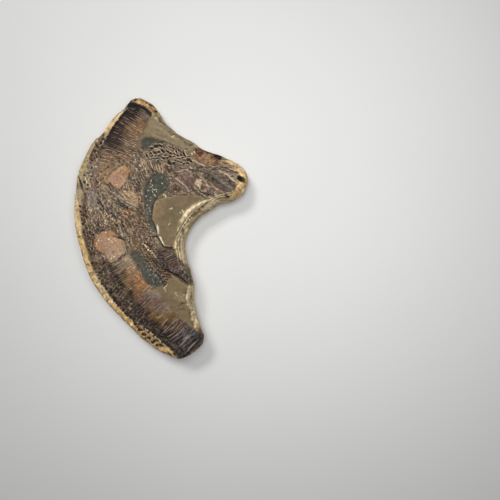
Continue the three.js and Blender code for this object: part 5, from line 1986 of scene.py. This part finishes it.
back_scales = lay_pieces(
    "back_scales",
    graded(field_places(
        BACK_FIELD, 4.1, 3.7, (2.25, 1.95, 1.3), (0.3, 0.8),
        ("black", "soot", "black", "sepia", "black", "umber", "soot", "plum"), 0.05, 11, swell=0.3))
    + field_places(
        MARGIN_FIELD, 3.6, 3.0, (1.8, 1.4, 0.9), (0.4, 1.0), ("umber", "soot", "black"), 0.12, 12)
    + field_places(
        SHOULDER_FIELD, 3.7, 3.3, (1.9, 1.35, 0.9), (0.3, 0.6),
        ("black", "umber", "soot", "mauve"), 0.1, 16),
    back_shape, enamel, lean=0.2, spread=0.15, sink=0.25, wear=0.9, wear_grain=2.0, seed=5)
tint_pieces(back_scales, blend=0.97, light=1.0, foot="bone", vary=0.35, edge=0.75)

throat_scales = lay_pieces(
    "throat_scales", throat_dashes + threads_beside(throat_dashes, 30), grain_shape, enamel,
    lean=0.03, sink=0.2, wear=0.2, seed=6)
tint_pieces(throat_scales, blend=0.97, dark=0.75, light=1.0)

tail_scales = lay_pieces(
    "tail_scales",
    tail_dashes + field_places(
        LUMP_FIELD, 3.5, 3.3, (1.7, 1.05, 1.1), (0.2, 0.5), ("tan", "brown", "mauve", "bone"),
        0.1, 24),
    grain_shape, enamel, lean=0.1, spread=0.25, sink=0.25, wear=0.3, seed=7)
tint_pieces(tail_scales, blend=0.92, dark=0.6, light=1.05)

fin_rays = lay_pieces(
    "tail_fin_rays",
    rays_between(
        FIN_ROOTS, FIN_ENDS, 11, 1.5, 1.2, ("mauve", "umber", "brown", "grey bone"), 15, 0.7)
    + hatch_places(
        FIN_LOBE, 0.9, 2.6, 3.5, 1.2, 0.8, ("plum", "ash", "lavender", "black", "slate"), 25, 0.75),
    grain_shape, bed, lean=0.05, sink=0.2, wear=0.5, seed=8)
tint_pieces(fin_rays, blend=0.9, dark=0.4, light=1.2)

jaw_rays = lay_pieces(
    "jaw_rays",
    rays_between(
        JAW_TOP, JAW_FOOT, 15, 1.3, 1.1, ("tan", "ash", "umber", "bone", "pale ash", "brown"), 17)
    + rays_between(CHEEK_TOP, CHEEK_FOOT, 6, 1.1, 0.9, ("bone", "ash"), 18),
    grain_shape, pale_bone, lean=0.06, sink=0.2, wear=0.4, seed=10)
tint_pieces(jaw_rays, blend=0.85, dark=0.35, light=1.3)

splinters = lay_pieces(
    "bone_splinters", bones + single_places(FLANK_RIBS + HEAD_RIBS), grain_shape, pale_bone,
    lean=0.06, spread=0.1, sink=0.15, wear=0.4, seed=11)
tint_pieces(splinters, blend=0.85, dark=0.4, light=1.25)

scaly = [band_corners(field) for field in (*SCALY, LUMP_FIELD, THROAT_FIELD)]
clayey = [LEVELS[name][2] for name in ("upper clay", "heart clay")]
slivers = lay_pieces(
    "bone_slivers",
    sliver_places(
        HEAD_BED, scaly + clayey, 3.9, 3.4, 0.55, 0.8,
        ("soot", "umber", "brown", "", "", "grey bone", "tan", "ash", "bone", "grey bone"), 21)
    + sliver_places(
        ARM_BED, [], 3.9, 3.4, 0.5, 0.7,
        ("soot", "plum", "umber", "", "", "mauve", "grey bone", "tan"), 22),
    sliver_shape, pale_bone, lean=0.1, spread=0.1, sink=0.15, wear=0.3, seed=14)
tint_pieces(slivers, blend=0.6, dark=0.55, light=1.1)

chips = lay_pieces(
    "stone_chips", single_places(STONE_CHIPS + RIND_BLOTCHES), chip_shape, marl,
    lean=0.1, spread=0.1, sink=0.2, wear=0.3, seed=12)
tint_pieces(chips, blend=0.95, dark=0.75, light=1.0)

crumbs = lay_pieces(
    "rind_crumbs", rim_places(420, 19), grain_shape, rind,
    lean=0.3, spread=0.2, sink=0.15, wear=0.3, seed=13)
tint_pieces(crumbs, blend=0, dark=0.7, light=1.1)

pieces = [
    upper_flank, lower_flank, back_scales, throat_scales, tail_scales, fin_rays, jaw_rays,
    splinters, slivers, chips, crumbs,
]
for shape in (ridge_shape, back_shape, grain_shape, sliver_shape, chip_shape):
    bpy.data.objects.remove(shape)


# ---------------------------------------------------------------- stage, light and camera
def table_finish():
    """Pale board, hardly uneven in colour."""
    material = bpy.data.materials.new("pale table")
    material.use_nodes = True
    tree = material.node_tree
    place = add_node(tree, "ShaderNodeTexCoord", (-900, 0)).outputs["Object"]
    soft = add_node(tree, "ShaderNodeTexNoise", (-700, 0), Vector=place, Scale=3.0, Detail=2.0)
    mixed = add_node(
        tree, "ShaderNodeMix", (-400, 0), data_type="RGBA", Factor=soft.outputs["Fac"],
        A=(0.68, 0.68, 0.665, 1), B=(0.72, 0.72, 0.71, 1))
    shader = tree.nodes["Principled BSDF"]
    shader.inputs["Roughness"].default_value = 0.7
    tree.links.new(mixed.outputs["Result"], shader.inputs["Base Color"])
    return material


TABLE_REACH = 3.0  # from the middle of the table to its edges, in metres
corners = [(x * TABLE_REACH, y * TABLE_REACH, 0) for x, y in ((-1, -1), (1, -1), (1, 1), (-1, 1))]
floor = add_object("table", make_mesh("table", corners, [(0, 1, 2, 3)], False))
floor.data.materials.append(table_finish())

scene = bpy.context.scene
scene.view_settings.view_transform = "Standard"
world = bpy.data.worlds.new("pale room")
scene.world = world
world.use_nodes = True
daylight = world.node_tree.nodes["Background"].inputs
daylight["Color"].default_value = (0.97, 0.98, 1.0, 1)
daylight["Strength"].default_value = 0.07


def soft_lamp(name, place, target, size, power, colour):
    """A soft oblong lamp that faces its target."""
    lamp = bpy.data.lights.new(name, "AREA")
    lamp.shape = "RECTANGLE"
    lamp.size, lamp.size_y = size
    lamp.energy = power
    lamp.color = colour
    made = add_object(name, lamp)
    made.location = place
    made.rotation_euler = (Vector(target) - Vector(place)).to_track_quat("-Z", "Y").to_euler()


soft_lamp("window", (-0.8, 1.2, 1.6), (0.05, 0, 0), (0.85, 0.45), 23.2, (1.0, 0.99, 0.98))
soft_lamp("ceiling", (0.16, 0.07, 0.62), (0.16, 0.07, 0), (0.45, 0.45), 3.3, (0.98, 0.99, 1.0))

CAMERA_HEIGHT = 0.4875  # over the table, in metres
camera = bpy.data.cameras.new("camera")
camera.lens = 27
camera.sensor_width = 36
camera.clip_start = 0.01
camera_object = add_object("camera", camera)
camera_object.location = (MIDDLE[0] * MM, MIDDLE[1] * MM, CAMERA_HEIGHT)
scene.camera = camera_object

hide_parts("fossil_plate")
for piece in [stone, *pieces]:
    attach(piece, "root")
